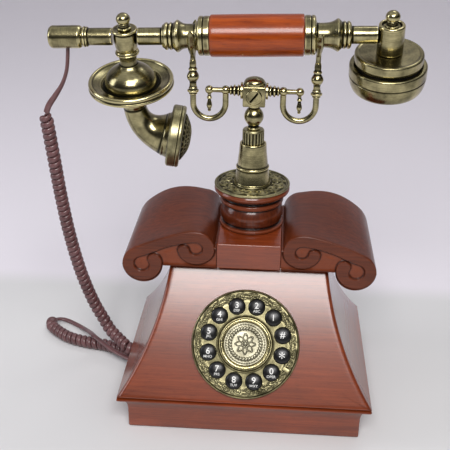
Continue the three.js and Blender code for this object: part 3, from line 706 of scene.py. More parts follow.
def shoulder_board(side):
    """Scroll board: each slice across it runs up the front face between the lower and the upper outline, over the
    top to the back and home underneath. The upper outline is part of the inner volute's circle, a cubic arch and
    part of the outer volute's circle, and the arch swells towards the back. The carved band on the front follows a
    line that starts in the inner volute, runs below the upper edge and curls up in the outer volute; wherever the
    distance to that line is more than the band's half width, the field is sunk by a smooth step."""
    o, i = OUTER, INNER
    waist, ahead, behind = o["x"] - o["r"], SCROLL["front"], SCROLL["back"]
    arc = np.concatenate([np.linspace(BLOCK["x"] + GAP, waist, 76),
                          o["x"] - o["r"] * np.cos(np.linspace(3, 180, 60) * DEG)])
    a = np.linspace(172, 84, 30) * DEG
    crown = np.stack([i["x"] + i["r"] * np.cos(a), i["z"] + i["r"] * np.sin(a)], -1)
    t = np.linspace(0, 1, 40)[:, None]
    q = [np.array(v) for v in (crown[-1], (50, 136.5), (68, 129), (80.5, 123.2))]
    arch = (1 - t) ** 3 * q[0] + 3 * t * (1 - t) ** 2 * q[1] + 3 * t * t * (1 - t) * q[2] + t ** 3 * q[3]
    b = np.linspace(56, 0, 30) * DEG
    tail = np.stack([o["x"] + o["r"] * np.cos(b), o["z"] + o["r"] * np.sin(b)], -1)
    upper = np.vstack([[(BLOCK["x"] + GAP, i["z"] + 2)], crown, arch[1:-1], tail])
    dx = np.clip(arc - o["x"], -o["r"], o["r"])
    low = np.where(arc < waist + 0.1, SCROLL["bottom"], o["z"] - np.sqrt(np.maximum(o["r"] ** 2 - dx ** 2, 0)))
    high = np.maximum(np.interp(arc, upper[:, 0], upper[:, 1]), low)
    lows, highs = low[:, None], high[:, None]
    xs, vs = np.meshgrid(arc, np.linspace(0, 1, 60), indexing="ij")
    zs = lows + (highs - lows) * vs

    slope = np.gradient(arch, axis=0)
    slope /= np.linalg.norm(slope, axis=1, keepdims=True)
    spine = arch + BAND * np.stack([slope[:, 1], -slope[:, 0]], -1)
    line = np.vstack([volute((i["x"], i["z"]), -8, -276, 8.3, i["r"] - BAND), spine[2:-2],
                      volute((o["x"], o["z"]), 52, -206, o["r"] - BAND, 9.2)])
    d = distance_to(np.stack([xs, zs], -1).reshape(-1, 2), line).reshape(xs.shape)
    round_tip = np.exp(-((np.hypot(xs - line[-1, 0], zs - line[-1, 1]) / 7.0) ** 2))
    past = d - BAND - 0.8 * round_tip
    sunk = ease((past + 0.1) / 1.1)
    cut = CARVE * sunk + 0.35 * sunk * np.sin(np.clip(past / 5.0, 0, 1) * np.pi)
    cut = cut * ease((highs - zs) / 1.2)
    # Marks for the wood finish: painted shade along the crease at the foot of the raised band, and a paler tone over
    # the sunk field and along the band's edge.
    crease = np.exp(-(((past - 0.8) / 0.55) ** 2))
    worn_edge = np.exp(-(((past + 0.3) / 0.4) ** 2))
    hollow = np.clip(0.85 * crease - 0.6 * sunk * (1 - crease) - 0.25 * worn_edge, -1, 1)

    def strip(y, z):
        return np.stack(np.broadcast_arrays(arc[:, None], y, z), -1)

    r = 1.1
    roll = r * np.minimum(highs - lows, 3 * r) / (3 * r)
    bend = np.linspace(0, 90, 5) * DEG
    leave, meet = roll * (1 - np.cos(bend)), roll * (1 - np.sin(bend))
    depth = np.linspace(ahead + 4, behind - r, 16)
    across = np.clip((arc[:, None] - 36) / (o["x"] + o["r"] - 36), 0, 1)
    crest = SWELL * np.sin(np.pi * across ** 1.15)
    rise = ease((depth - ahead) / (behind - ahead))
    loop = np.concatenate([
        strip(ahead + cut, lows + roll + (highs - lows - 2 * roll) * vs),
        strip(ahead + leave, highs - meet), strip(depth, highs + crest * rise),
        strip(behind - meet, highs + crest - leave), strip(behind - leave, lows + meet),
        strip(depth[::-1], lows), strip(ahead + meet, lows + leave),
    ], 1)
    mark = np.zeros(loop.shape[:2])
    mark[:, :60] = hollow
    loop[:, :, 0] *= side
    return grid(loop, mark, caps=True)


class PHONE_OT_cabinet(bpy.types.Operator):
    """Adds the cabinet's wall, its leaning front board and the plinth with its cove."""

    bl_idname = "phone.cabinet"
    bl_label = "Cabinet"

    def execute(self, context):
        piece("front_board", front_board(), "front", "base", ["front_panel"])
        piece("cabinet_wall", cabinet_wall(), "side", "base", ["cabinet"])
        obj = finish_mesh("plinth_frame", [plinth_wall()])
        socket = finish_mesh("cutter", [slab(22.7, 37.3, 41.5, 58.5, 1.7, 14.3, 0.2, 1)])
        carve(obj, [socket])
        settle(obj, "front", "base", ["plinth"])
        return {"FINISHED"}


class PHONE_OT_shoulders(bpy.types.Operator):
    """Adds the two carved scroll boards and the block between them."""

    bl_idname = "phone.shoulders"
    bl_label = "Scroll shoulders"

    def execute(self, context):
        for side, word in ((-1, "left"), (1, "right")):
            piece(f"scroll_board_{word}", shoulder_board(side), "shoulder", "base", [f"scroll_{word}"])
        x = BLOCK["x"]
        piece("middle_block", slab(-x, x, SCROLL["front"], SCROLL["back"], SCROLL["bottom"], BLOCK["top"], 0.9),
              "front", "base", ["centre_block"])
        return {"FINISHED"}


class PHONE_OT_collar(bpy.types.Operator):
    """Adds the turned wooden collar under the column."""

    bl_idname = "phone.collar"
    bl_label = "Turned collar"

    def execute(self, context):
        r, (low, high) = COLLAR_R, COLLAR_Z
        swell = curve([(r - 1.9, 133.1), (r - 0.9, 134.6), (r - 0.1, 137.6), (r - 0.1, 140.4), (r - 1.2, 143.6),
                       (r - 2.2, 145.4)], 6)
        profile = [(4.5, low), (r - 0.2, low), (r + 0.4, 129.9), (r + 0.4, 131.2), (r - 0.9, 131.9),
                   (r - 1.9, 132.3), *swell, (r - 2.2, 146.2), (r - 0.4, 146.8), (r + 0.1, 148.2), (r - 0.4, 149.6),
                   (r - 2.0, 150.3), (r - 1.9, 151), *curve([(r - 0.8, 152), (r + 1.4, 153.2), (r + 3.6, 154.8),
                                                            (r + 4.2, 156.6), (r + 3.4, 158.2)], 5),
                   (r + 2.8, high), (4.5, high), (4.5, low)]
        # The profile's grooves get painted shade from the wood finish through the hollow mark.
        piece("turned_wood_collar", revolve(profile, 96, 0.8, 0.3, closed=True), "collar", "base", ["turned_collar"])
        return {"FINISHED"}


# ---- embossed brass -----------------------------------------------------------------------------
def scrollwork(angle, radius, inner, outer, count, depth):
    """Raised leaf scrolls in the band between two radii. The band is cut into equal cells, every other one
    mirrored. In a cell a spiral stem and four leaf blades are lines, and the height is a round ridge that falls
    off as a bell curve with the distance to the nearest line. Returns the height and the darkness between."""
    cell = TAU / count
    k = np.floor(angle / cell)
    middle = (inner + outer) / 2
    scale = (outer - inner) / 10
    x = (angle - (k + 0.5) * cell) * middle / scale * np.where(k % 2 == 0, 1, -1)
    y = (radius - middle) / scale * np.where(k % 2 == 0, 1, -1)
    reach = cell * middle / scale / 2
    f = np.linspace(0, 1, 90)[:, None]
    a = -2.2 + f * TAU * 1.35
    curl = np.hstack([0.25 * reach + (3.7 - 2.9 * f) * np.cos(a), (3.9 - 3.1 * f) * np.sin(a)])
    stem_x = np.linspace(-reach, 0.25 * reach - 2.2, 40)[:, None]
    stem = np.hstack([stem_x, -1.2 - 2.4 * np.sin((stem_x + reach) / reach * 1.5)])
    lines = [curl, stem]
    for x0, y0, heading, length in ((-0.55 * reach, -2.5, 1.9, 4.6), (-0.85 * reach, 1.8, 0.5, 4.2),
                                    (-0.2 * reach, 2.8, 2.6, 3.4), (0.8 * reach, -2.6, 1.2, 3.2)):
        g = np.linspace(0, 1, 26)[:, None]
        turn = heading - 1.2 * g
        lines.append(np.hstack([x0 + length * g * np.cos(turn), y0 + length * g * np.sin(turn)]))
    line = np.vstack(lines)
    flat = np.stack([x, y], -1).reshape(-1, 2)
    inside = (flat[:, 1] > -6.5) & (flat[:, 1] < 6.5)
    d = np.full(len(flat), 9.0)
    if inside.any():
        d[inside] = distance_to(flat[inside], line)
    d = d.reshape(x.shape)
    ridge = np.exp(-((d / 0.62) ** 2))
    band = ease((radius - inner) / 0.6) * ease((outer - radius) / 0.6)
    return depth * ridge * band, (1 - ridge) * band * 0.6 - 0.5 * ridge * band


class PHONE_OT_column(bpy.types.Operator):
    """Adds the embossed rosette, the brass column, its fluted sleeve and the neck ball."""

    bl_idname = "phone.column"
    bl_label = "Column"

    def execute(self, context):
        def petals(a, r):
            rise, dark = scrollwork(a, r, 13.6, 24.2, 14, 0.75)
            bead = np.exp(-(((r - 25.0) / 0.35) ** 2)) * 0.2
            zone = (r > 13.2) * (r < 25.6)
            return (rise + bead) * zone, dark * zone

        z, r = ROSETTE_Z, ROSETTE_R
        disc = [(4.5, z), (r - 0.2, z), (r, z + 0.3), (r, z + 1.2), (r - 0.5, z + 1.7), (r - 1.1, z + 1.7)]
        disc += [(v, z + 1.2) for v in np.linspace(r - 1.6, 13.2, 48)] + [(12.9, z + 2), (4.5, z + 2), (4.5, z)]
        piece("rosette_disc", revolve(disc, 420, 0.3, 0.15, closed=True, lift=petals), "cast", "base",
              ["rosette_plate"])
        z = COLUMN_Z
        bell = curve([(12.8, z + 0.8), (12.3, z + 3), (11.6, z + 6.5), (11.1, z + 10)], 6)
        column = [(2.2, 92), (4.2, 92), (4.2, z), (13.1, z), (13.1, z + 0.6), *bell, (11.5, z + 10.5),
                  (11.6, z + 11.3), (11.3, z + 11.9), (10.7, z + 12.2), (10.4, z + 15), (9.6, z + 22), (9.2, 188.9),
                  (8.9, 189.6), (7.9, 189.6), (7.9, 173.6), (2.2, 173.6), (2.2, 92)]
        piece("brass_column", revolve(column, 72, 0.9, 0.3, closed=True), "brass", "base", ["column"])

        def flutes(a, h):
            wave = np.abs(np.sin(10 * a))
            zone = ease((h - 188) / 1.0) * ease((198.3 - h) / 0.8)
            return -0.75 * (1 - wave ** 0.7) * zone, ((1 - wave) * 1.6 - 0.2).clip(-0.3, 1) * zone

        sleeve = [(0, 178), (7.5, 178), (7.5, 198.4), (6.8, 199.5), (0, 199.5)]
        piece("fluted_neck_sleeve", revolve(sleeve, 240, 0.6, 0.3, swell=flutes), "cast", "cradle",
              ["fluted_sleeve"])
        bulb = curve([(3.4, 202), (4.8, 203.6), (6.2, 206), (6.65, 208.4), (6.1, 211), (4.6, 213.4), (3.4, 214.6)], 7)
        neck = [(0, 199.8), (4.6, 199.8), (4.6, 200.8), (3.4, 201.3), *bulb, (4.2, 215.2), (4.2, 216.1), (3.6, 216.4),
                (0, 216.4)]
        piece("neck_bulb", revolve(neck, 56, 0.7, 0.25), "brass", "cradle", ["neck_ball"])
        return {"FINISHED"}


class PHONE_OT_cradle(bpy.types.Operator):
    """Adds the head block with its dome and screw, and the two arms with pendants, U tubes, posts and forks."""

    bl_idname = "phone.cradle"
    bl_label = "Cradle"

    def execute(self, context):
        z, h = HEAD_Z, HEAD_HALF
        body = slab(-h, h, -h, h, z - 7, z + 6.9, 0.8, 6)
        body.hollow = np.full(len(body.points), -0.25)
        piece("head_block_body", body, "brass", "cradle", ["head_block"])
        dome = curve([(7.1, z + 7), (7, z + 8.6), (6, z + 10.2), (4, z + 11.3), (1.8, z + 11.9), (0, z + 12)], 6)
        piece("head_dome", revolve([(0, z + 6), (7.1, z + 6), *dome], 48, 0.6), "brass", "cradle")

        def slot(a, r):
            across, zone = np.abs(r * np.sin(a - 0.9)), r < 4.2
            return -0.8 * (1 - ease((across - 0.45) / 0.25)) * zone, 0.9 * (across < 0.6) * zone

        screw = revolve([(0, 0), (5.4, 0), (5.4, 8.3), (4.8, 8.9)] + [(r, 8.9) for r in np.linspace(4.4, 0, 24)], 96,
                        0.5, 0.2, lift=slot)
        piece("head_screw", screw.moved(lambda v: np.stack([v[:, 0], -v[:, 2], v[:, 1] + z], -1)), "brass", "cradle")
        for side, word in ((-1, "left"), (1, "right")):
            self.arm(side, word)
        return {"FINISHED"}

    def arm(self, side, word):
        """One arm, built on the right and mirrored for the left: a turned bar with two balls and a pendant, a tube
        swept down, round a half circle and up, a turned post, and two tines swept along curves that part round the
        handset's waist and widen in their middle."""
        def turn(v):
            return v * [side, 1, 1]

        x, post = BEND_X, POST_X
        bar = turned([(7.7, 5.6), (9.2, 5.6), (9.3, 3.1), (9.9, 3), (10.3, 3.9), (10.9, 3.9), (11.7, 2.7), (12.4, 2.8),
                      (13, 3.9), (13.7, 3.8), (14.4, 2.5), (15.1, 2.6), (15.6, 3.3), (16.1, 3.2), (16.8, 1.9),
                      (x, 1.6)], 36, 0.5, 0.25).moved(shifted(z=ARM_Z))
        pendant = revolve([(0, 210.9), (0.8, 211.1), (1.2, 211.8), (0.9, 212.5), *curve([(1.2, 213), (1.9, 215),
                          (1.5, 217.4), (0.95, 219.4)], 5), (1.7, 220), (1.7, 221), (1.1, 221.8), (1.2, 224),
                          (0, 226)], 28, 0.4, 0.2)
        balls = [ball(3.1, (x - BEND_R, 0, ARM_Z)), ball(2.9, (x, 0, ARM_Z))]
        piece(f"cradle_bar_{word}", [v.moved(turn) for v in (bar, *balls, pendant.moved(shifted(x)))], "brass",
              "cradle", [f"cradle_arm_{word}"])
        a = np.pi + np.linspace(0, 1, 30) * np.pi
        arc = np.stack([x + BEND_R * np.cos(a), 0 * a, BEND_Z + BEND_R * np.sin(a)], -1)
        path = np.vstack([[(x - BEND_R, 0, ARM_Z)], [(x - BEND_R, 0, BEND_Z + 3)], arc, [(post, 0, BEND_Z + 4)],
                          [(post, 0, 224)]])
        piece(f"cradle_bend_{word}", sweep(resample(path, 0.8), 2.05, sides=20).moved(turn), "brass", "cradle")
        bead = [(0, 222.6), (2.6, 222.6), (2.9, 223.3), (2.5, 223.8), (3.9, 224.5), (3.9, 225.6), (2.7, 226.3),
                (3, 227.2), (2.4, 228), (2.3, 230.8), *curve([(2.5, 231.5), (3.6, 233), (4.1, 234.8), (3.6, 236.6),
                (2.7, 238)], 5), (2.3, 238.6), (2.9, 239.3), (2.9, 240.2), (2.2, 241), (2.3, 243.2), (2, 246),
                (0, 246.4)]
        piece(f"cradle_post_{word}", revolve(bead, 40, 0.5, 0.25).moved(shifted(post)).moved(turn), "brass", "cradle")
        thin, waist, half = 1.5, 7.9, 10.9
        low = HANDSET_Z + side * 42 * math.sin(TILT * DEG) - waist - 2.1
        tines = []
        for s in (-1, 1):
            way = curve([(post, 0, MERGE), (post, s * 0.6, low - 3.4), (post, s * 4.5, low + 0.6),
                         (post, s * (half - 0.6), low + 5.6), (post, s * (half + 2.2), low + 10),
                         (post, s * SPREAD, TIP)], 12)
            f = np.linspace(0, 1, len(way))
            width = 1.7 + 0.9 * np.sin(np.clip((f - 0.3) / 0.7, 0, 1) * np.pi)
            end = np.sqrt(np.clip((1 - f) * 14, 0, 1))
            wide = np.tile([1.0, 0.0, 0.0], (len(way), 1))
            tines.append(sweep(way, width * end.clip(0.12), wide, thin / width, 18).moved(turn))
        piece(f"cradle_fork_{word}", tines, "brass", "cradle")


class PHONE_OT_dial(bpy.types.Operator):
    """Adds the embossed dial plate, its raised ring and medallion, and the twelve keys with their characters."""

    bl_idname = "phone.dial"
    bl_label = "Dial"

    def execute(self, context):
        plate = revolve([(0, 0.3), (DIAL_R - 0.3, 0.3), (DIAL_R, 0.6), (DIAL_R, 2.6), (DIAL_R - 0.4, DIAL_FACE)] +
                        [(r, DIAL_FACE) for r in np.linspace(DIAL_R - 0.5, 16, 84)] + [(0, DIAL_FACE)], 520, 0.5, 0.2,
                        lift=self.relief)
        obj = finish_mesh("dial_face", [plate.moved(on_panel)])
        hole = revolve([(0, -3), (KEY_R + GAP, -3), (KEY_R + GAP, 8), (0, 8)], 40, 20, 0)
        carve(obj, [finish_mesh("cutter", [hole.moved(shifted(*self.seat(i))).moved(on_panel)]) for i in range(12)])
        settle(obj, "cast", "base", ["dial_plate"])
        tab, spin = slab(-2.6, 2.6, -1.6, 1.6, 2.6, 4.9, 0.5, 4), -30 * DEG
        tab = tab.moved(shifted(32.9)).moved(lambda v: np.stack([
            v[:, 0] * math.cos(spin) - v[:, 1] * math.sin(spin),
            v[:, 0] * math.sin(spin) + v[:, 1] * math.cos(spin), v[:, 2]], -1))
        piece("finger_stop", tab.moved(on_panel), "cast", "base")
        piece("dial_medallion", self.medallion(), "medal", "base", ["dial_badge"])
        s = DIAL_FACE + 0.6
        hoop = [(14.9, s), (17.6, s), (17.6, s + 1.3), (17.1, s + 2.1), (16.4, s + 2.4), (15.6, s + 2.1),
                (15.1, s + 1.2), (14.9, s + 0.6), (14.9, s)]
        piece("dial_hoop", revolve(hoop, 96, 0.4, 0.2, closed=True).moved(on_panel), "brass", "base")
        keys = (("hash", "#", ""), ("1", "1", ""), ("2", "2", "ABC"), ("3", "3", "DEF"), ("4", "4", "GHI"),
                ("5", "5", "JKL"), ("6", "6", "MNO"), ("7", "7", "PRS"), ("8", "8", "TUV"), ("9", "9", "WXY"),
                ("0", "0", "OPER"), ("star", "*", ""))
        cap = [(0, -1.4), (KEY_R + 0.8, -1.4), (KEY_R + 0.8, 0), (KEY_R, 0.1), (KEY_R, 3.5),
               *[((KEY_R - 0.1) * math.cos(t), 3.6 + 2.0 * math.sin(t)) for t in np.linspace(0.15, TAU / 4, 14)]]
        for i, (name, sign, word) in enumerate(keys):
            seat = self.seat(i)
            top = revolve(cap, 48, 0.8, 0.2).moved(shifted(*seat)).moved(on_panel)
            piece(f"key_cap_{name}", top, "key", f"button_{name}", [f"key_{name}"])
            size = 10 if name == "star" else 6
            self.character(f"character_{name}", sign, size, seat, (0, 1.0 if word else 0.1), name)
            if word:
                self.character(f"letters_{name}", word, 2.5, seat, (0, -2.8), name)
        return {"FINISHED"}

    def relief(self, a, r):
        """Heights and darkness over the plate: leaf scrolls outside the keys with dark outlines, a raised rim, a
        fine inner ring and a groove, each a bell curve of the distance to its radius."""
        depth = 0.55
        rise, between = scrollwork(a, r, 29.2, 36.0, 24, depth)
        outline = 0.75 * np.exp(-(((rise / depth - 0.35) / 0.2) ** 2)) * (r > 29)
        dark = np.maximum(0.35 * between, outline) + 0.3 * (r < 29)
        rim = 0.35 * np.exp(-(((r - 36.7) / 0.3) ** 2))
        inner = 0.25 * np.exp(-(((r - 19.6) / 0.3) ** 2))
        line = -0.25 * np.exp(-(((r - 36.05) / 0.2) ** 2))
        shade = 0.9 * np.exp(-(((r - 36.05) / 0.3) ** 2)) + 0.8 * np.exp(-(((r - 18.6) / 0.7) ** 2))
        zone = (r > 17.8) * (r < 37.2)
        return (rise + rim + inner + line) * zone, np.maximum(dark, shade) * zone

    def seat(self, i):
        """Middle of the key, counted from the right and leftwards over the top."""
        a = (15 + 30 * i) * DEG
        return KEY_PITCH * math.cos(a), KEY_PITCH * math.sin(a)

    def medallion(self):
        """A disc with an eight-petalled flower, a laurel and a ring of beads, each the bell curve of the distance to
        a radius that waves with the angle. Dark lines follow one height, so they outline each figure."""
        def relief(a, r):
            flower = 0.55 * np.exp(-(((r - 5.6 - 1.1 * np.cos(8 * a)) / 0.5) ** 2))
            inner = 0.5 * np.exp(-(((r - 2.6 - 0.5 * np.cos(8 * a + np.pi)) / 0.45) ** 2))
            laurel = 0.45 * np.exp(-(((r - 10.6) / 1.1) ** 2)) * np.abs(np.sin(16 * a + (r - 10.6) * 0.9)) ** 0.6
            beads = 0.35 * np.exp(-(((r - 13.3) / 0.4) ** 2)) * np.cos(24 * a) ** 2
            eye = 0.6 * np.exp(-((r / 1.1) ** 2))
            high = flower + inner + laurel + beads + eye
            zone = (r < 14.4)
            line = 0.9 * np.exp(-(((high - 0.15) / 0.08) ** 2))
            return high * zone, np.maximum(np.clip(0.15 - 1.5 * high, -0.5, 0.15), line) * zone

        s = DIAL_FACE + 0.6
        profile = [(0, s), (14.8, s), (14.8, s + 0.9), (14.6, s + 1.1)]
        profile += [(r, s + 1.0) for r in np.linspace(14.4, 0, 60)]
        return revolve(profile, 320, 0.4, 0.2, lift=relief).moved(on_panel)

    def character(self, name, text, size, seat, offset, body):
        """A raised printed character: the text's outline is filled and given 0.06 mm, then bent to the key's dome."""
        data = bpy.data.curves.new(name, "FONT")
        data.body, data.size, data.align_x, data.align_y = text, size, "CENTER", "CENTER"
        data.extrude, data.offset, data.resolution_u = 0.03, 0.04 if size > 4 else 0.02, 4
        temp = bpy.data.objects.new(name, data)
        bpy.context.scene.collection.objects.link(temp)
        bpy.context.view_layer.update()
        mesh = bpy.data.meshes.new_from_object(temp.evaluated_get(bpy.context.evaluated_depsgraph_get()))
        bpy.data.objects.remove(temp)
        b = bmesh.new()
        b.from_mesh(mesh)
        bmesh.ops.remove_doubles(b, verts=b.verts, dist=1e-5)
        bmesh.ops.triangulate(b, faces=b.faces)
        bmesh.ops.subdivide_edges(b, edges=[e for e in b.edges if e.calc_length() > 0.9], cuts=2)
        bmesh.ops.recalc_face_normals(b, faces=b.faces)
        b.to_mesh(mesh)
        b.free()
        v = np.empty(len(mesh.vertices) * 3)
        mesh.vertices.foreach_get("co", v)
        v = v.reshape(-1, 3)
        v[:, :2] += np.array(offset) - (v[:, :2].max(0) + v[:, :2].min(0)) / 2
        rr = np.hypot(v[:, 0], v[:, 1]).clip(0, KEY_R - 0.3)
        v[:, 2] += 3.6 + 2.0 * np.sqrt(1 - (rr / (KEY_R - 0.1)) ** 2) + 0.03
        v[:, :2] += seat
        mesh.vertices.foreach_set("co", (on_panel(v) * MM).ravel())
        mesh.update()
        obj = bpy.data.objects.new(name, mesh)
        bpy.context.scene.collection.objects.link(obj)
        settle(obj, "legend", f"button_{body}")


# ---- handset ------------------------------------------------------------------------------------
def handle(name, surfaces, stands_for, finish="brass"):
    """A piece given in the handset's own axes."""
    parts = [v.moved(on_handset) for v in (surfaces if isinstance(surfaces, list) else [surfaces])]
    return piece(name, parts, finish, "handset", stands_for)


def finial(x, bottom):
    """Turned knob on a short neck and a foot ring."""
    knob = curve([(3.5, bottom + 4.1), (4.4, bottom + 4.9), (4.7, bottom + 6.2), (4.4, bottom + 7.7),
                  (3.4, bottom + 9.1), (1.7, bottom + 10.1), (0, bottom + 10.4)], 6)
    return revolve([(0, bottom), (4.6, bottom), (4.6, bottom + 0.7), (3.6, bottom + 1.2), (3.3, bottom + 3.2),
                    (3.8, bottom + 3.5), (3.8, bottom + 3.8), *knob], 40, 0.5, 0.2).moved(shifted(x))


class PHONE_OT_grip(bpy.types.Operator):
    """Adds the wooden grip with its ferrules, the two arms and the cord cap."""

    bl_idname = "phone.grip"
    bl_label = "Grip and arms"

    def execute(self, context):
        h = HUB_X
        handle("cord_cap_barrel", turned([(-136.5, 5.8), (-136.2, 6.4), (-135, 7.3), (-134.2, 7.5), (-116.4, 7.5),
                                          (-115.6, 7.1), (-114.8, 6.6)]), ["cord_cap"])
        handle("end_tube_ringed", turned([(-114.5, 5.6), (-114.1, 5.5), (-113.9, 6.2), (-113.3, 6.8), (-112.5, 6.8),
                                          (-112, 6.2), (-111.6, 6.6), (-110.9, 6.5), (-110.4, 5.7),
                                          (h - 8.6, 5.7)]), ["end_tube"])
        waist = curve([(-51.1, 10.5), (-50.3, 10.2), (-48.6, 8.9), (-46, 8.0), (-43, 7.85)], 6)
        left = [(h + 8.6, 5.7), (-61.4, 5.7), (-61, 7.4), (-60, 7.9), (-59.3, 8.6), (-58.4, 9), (-57.4, 8.6),
                (-56.9, 7.7), (-56.3, 8.6), (-55.5, 9.0), (-54.7, 8.6), (-54.3, 8.1), (-53, 9.2),
                (-51.8, 10.3), *waist, (-39.4, 7.85), (-39.1, 9.2), (-37.9, 9.8)]
        handle("arm_left_turned", turned(left, 56, 0.6), ["arm_left"])
        handle("ferrule_left_ring", turned([(-37.6, 11.4), (-37.2, 12.3), (-36.4, 12.8), (-34.5, 12.8), (-34.2, 12.3),
                                            (-33.8, 12.3), (-33.5, 12.8), (-30.4, 12.8), (-29.9, 12.6)], 64, 0.6),
               ["ferrule_left"])
        handle("wooden_grip", turned([(-29.6, 13.1), (-29.1, 13.5), (-28.5, 13.6), (0, 13.75), (30.1, 13.6),
                                      (30.7, 13.5), (31.2, 13.1)], 96, 1.5), ["grip"], "grip")
        handle("ferrule_right_ring", turned([(31.5, 12.6), (32, 12.8), (35.2, 12.8), (35.5, 12.3), (35.9, 12.3),
                                             (36.2, 12.8), (37.6, 12.8), (38.4, 12.3), (38.8, 11.4)], 64, 0.6),
               ["ferrule_right"])
        waist = curve([(43, 7.85), (46.5, 8.05), (49.6, 8.9), (51.9, 10.2), (52.8, 10.7)], 6)
        right = [(39.1, 9.2), (39.4, 7.85), *waist, (53.6, 10.3), (54.8, 9.2), (55.6, 8.2), (56.2, 8.6), (57, 9.0),
                 (57.8, 8.6), (58.3, 7.7), (58.8, 8.6), (59.7, 9), (60.6, 8.5), (61.3, 7.6), (61.8, 5.7),
                 (EAR_X - 8.9, 5.7)]
        handle("arm_right_turned", turned(right, 56, 0.6), ["arm_right"])
        return {"FINISHED"}


class PHONE_OT_transmitter(bpy.types.Operator):
    """Adds the hub, finial, dish, bowl, curved horn and its ring with the domed grille."""

    bl_idname = "phone.transmitter"
    bl_label = "Transmitter"

    def execute(self, context):
        at = shifted(HUB_X)
        barrel = curve([(7, -8.6), (7.5, -6), (7.75, -2), (7.6, 1.6), (7.2, 3.4)], 6)
        handle("hub_barrel", revolve([(0, -9), (6.8, -9), *barrel, (8, 4), (8.4, 4.5), (8.4, 5.2), (7.9, 5.7),
                                      (5.4, 5.5), (0, 5.4)], 56, 0.6).moved(at), ["transmitter_hub"])
        handle("hub_finial", finial(HUB_X, 6.1), ["transmitter_finial"])
        bell = curve([(17.8, -35), (17.7, -32.6), (16.6, -29.2), (14.1, -26), (10.8, -23.4), (8, -21.5),
                      (6.7, -20.2)], 7)
        neck = curve([(6, -19.4), (5.7, -17.4), (5.9, -15), (6.6, -12.9)], 5)
        rim = [(28.4, -37), (29.2, -36.7), (29.4, -36), (29.1, -35.1), (28.7, -34.8), (28.7, -34.3), (29.1, -33.9),
               (29.25, -33), (28.9, -32), (28.2, -31.4), (27.2, -31.4), (26.6, -31.9)]
        trough = [*curve([(26.2, -32.4), (24.4, -33.1), (22, -33.9), (20.8, -34.2)], 6), (20.4, -34.8), (19.4, -35.6)]
        dish = [(0, -37), *rim, *trough, (18.2, -35.8), *bell, (6.3, -19.9), *neck, (7.2, -12.5), (8, -12),
                (8.1, -11.2), (7.4, -10.9), (7.7, -10.2), (7.2, -9.4), (0, -9.3)]
        handle("saucer_and_bell", revolve(dish, 112, 0.6, 0.25).moved(at), ["transmitter_dish"])
        under = curve([(9.8, -47.6), (12.6, -45), (17.5, -42.4), (22.6, -40), (26, -38.1), (27, -37.3)], 6)
        handle("under_bowl", revolve([(0, -50.6), (9, -50.6), (9.6, -49.8), (9.6, -48.4), *under, (0, -37.3)], 88,
                                     0.7).moved(at), ["transmitter_bowl"])
        f = np.linspace(0, 1, 60)[:, None]
        a, b, c = np.array([HUB_X + 0.4, 0, -50.9]), np.array([HUB_X + 0.4, 0, -73.4]), np.array([-63.6, 0, -77.6])
        way = (1 - f) ** 2 * a + 2 * f * (1 - f) * b + f * f * c
        g = f[:, 0]
        radius = 7.9 + 1.2 * g + 7.2 * g ** 2.4
        radius += 0.7 * np.exp(-((g / 0.03) ** 2)) + 0.5 * np.exp(-(((g - 0.93) / 0.012) ** 2))
        horn = sweep(way, radius, np.tile([0.0, 1.0, 0.0], (60, 1)), 1, 56)
        horn.hollow = np.repeat(np.clip(0.9 * np.exp(-(((g - 0.895) / 0.02) ** 2)) + 0.8 * np.exp(
            -(((g - 0.055) / 0.03) ** 2)) - 0.1, -1, 1), 56)
        handle("curved_horn", horn, ["horn"])

        def lace(angle, r):
            n = np.exp(-((np.abs(np.sin(12 * angle + 0.5 * r)) * r / 12 / 0.32) ** 2))
            k = np.exp(-((np.abs(np.sin(12 * angle - 0.5 * r)) * r / 12 / 0.32) ** 2))
            rings = np.exp(-(((r % 3.1 - 1.55) / 0.35) ** 2))
            high = np.maximum(np.maximum(n, k), rings) * (r < 16.6)
            return 0.7 * high, np.clip(0.9 - 1.5 * high, -0.4, 0.9) * (r < 16.8)

        turn = 101 * DEG

        def mouth(v):
            x, z = v[:, 0], v[:, 2]
            return np.stack([x * math.cos(turn) + z * math.sin(turn) - 58.2, v[:, 1],
                             z * math.cos(turn) - x * math.sin(turn) - 78.6], -1)

        ring = [(18, -5), (20.6, -5), (21.3, -4.8), (22.1, -3.8), (22.1, 1.2), (21.7, 1.6), (22.1, 2), (22.1, 3.2),
                (21.5, 4.2), (20.6, 4.5), (18.2, 4.5), (17.4, 4.0)]
        dome = curve([(16.9, 4.4), (13.6, 6.4), (9.6, 8.4), (5, 9.6), (0, 9.9)], 16)
        inside = [(0, 7.6), (10, 5.6), (18, 1.2), (18, -5)]
        grille, back = revolve([*ring, *dome], 300, 0.35, 0.25, lift=lace), revolve(inside, 300, 3.0, 0.0)
        handle("horn_mouth_ring", [grille.moved(mouth), back.moved(mouth)], ["horn_ring"], "cast")
        return {"FINISHED"}


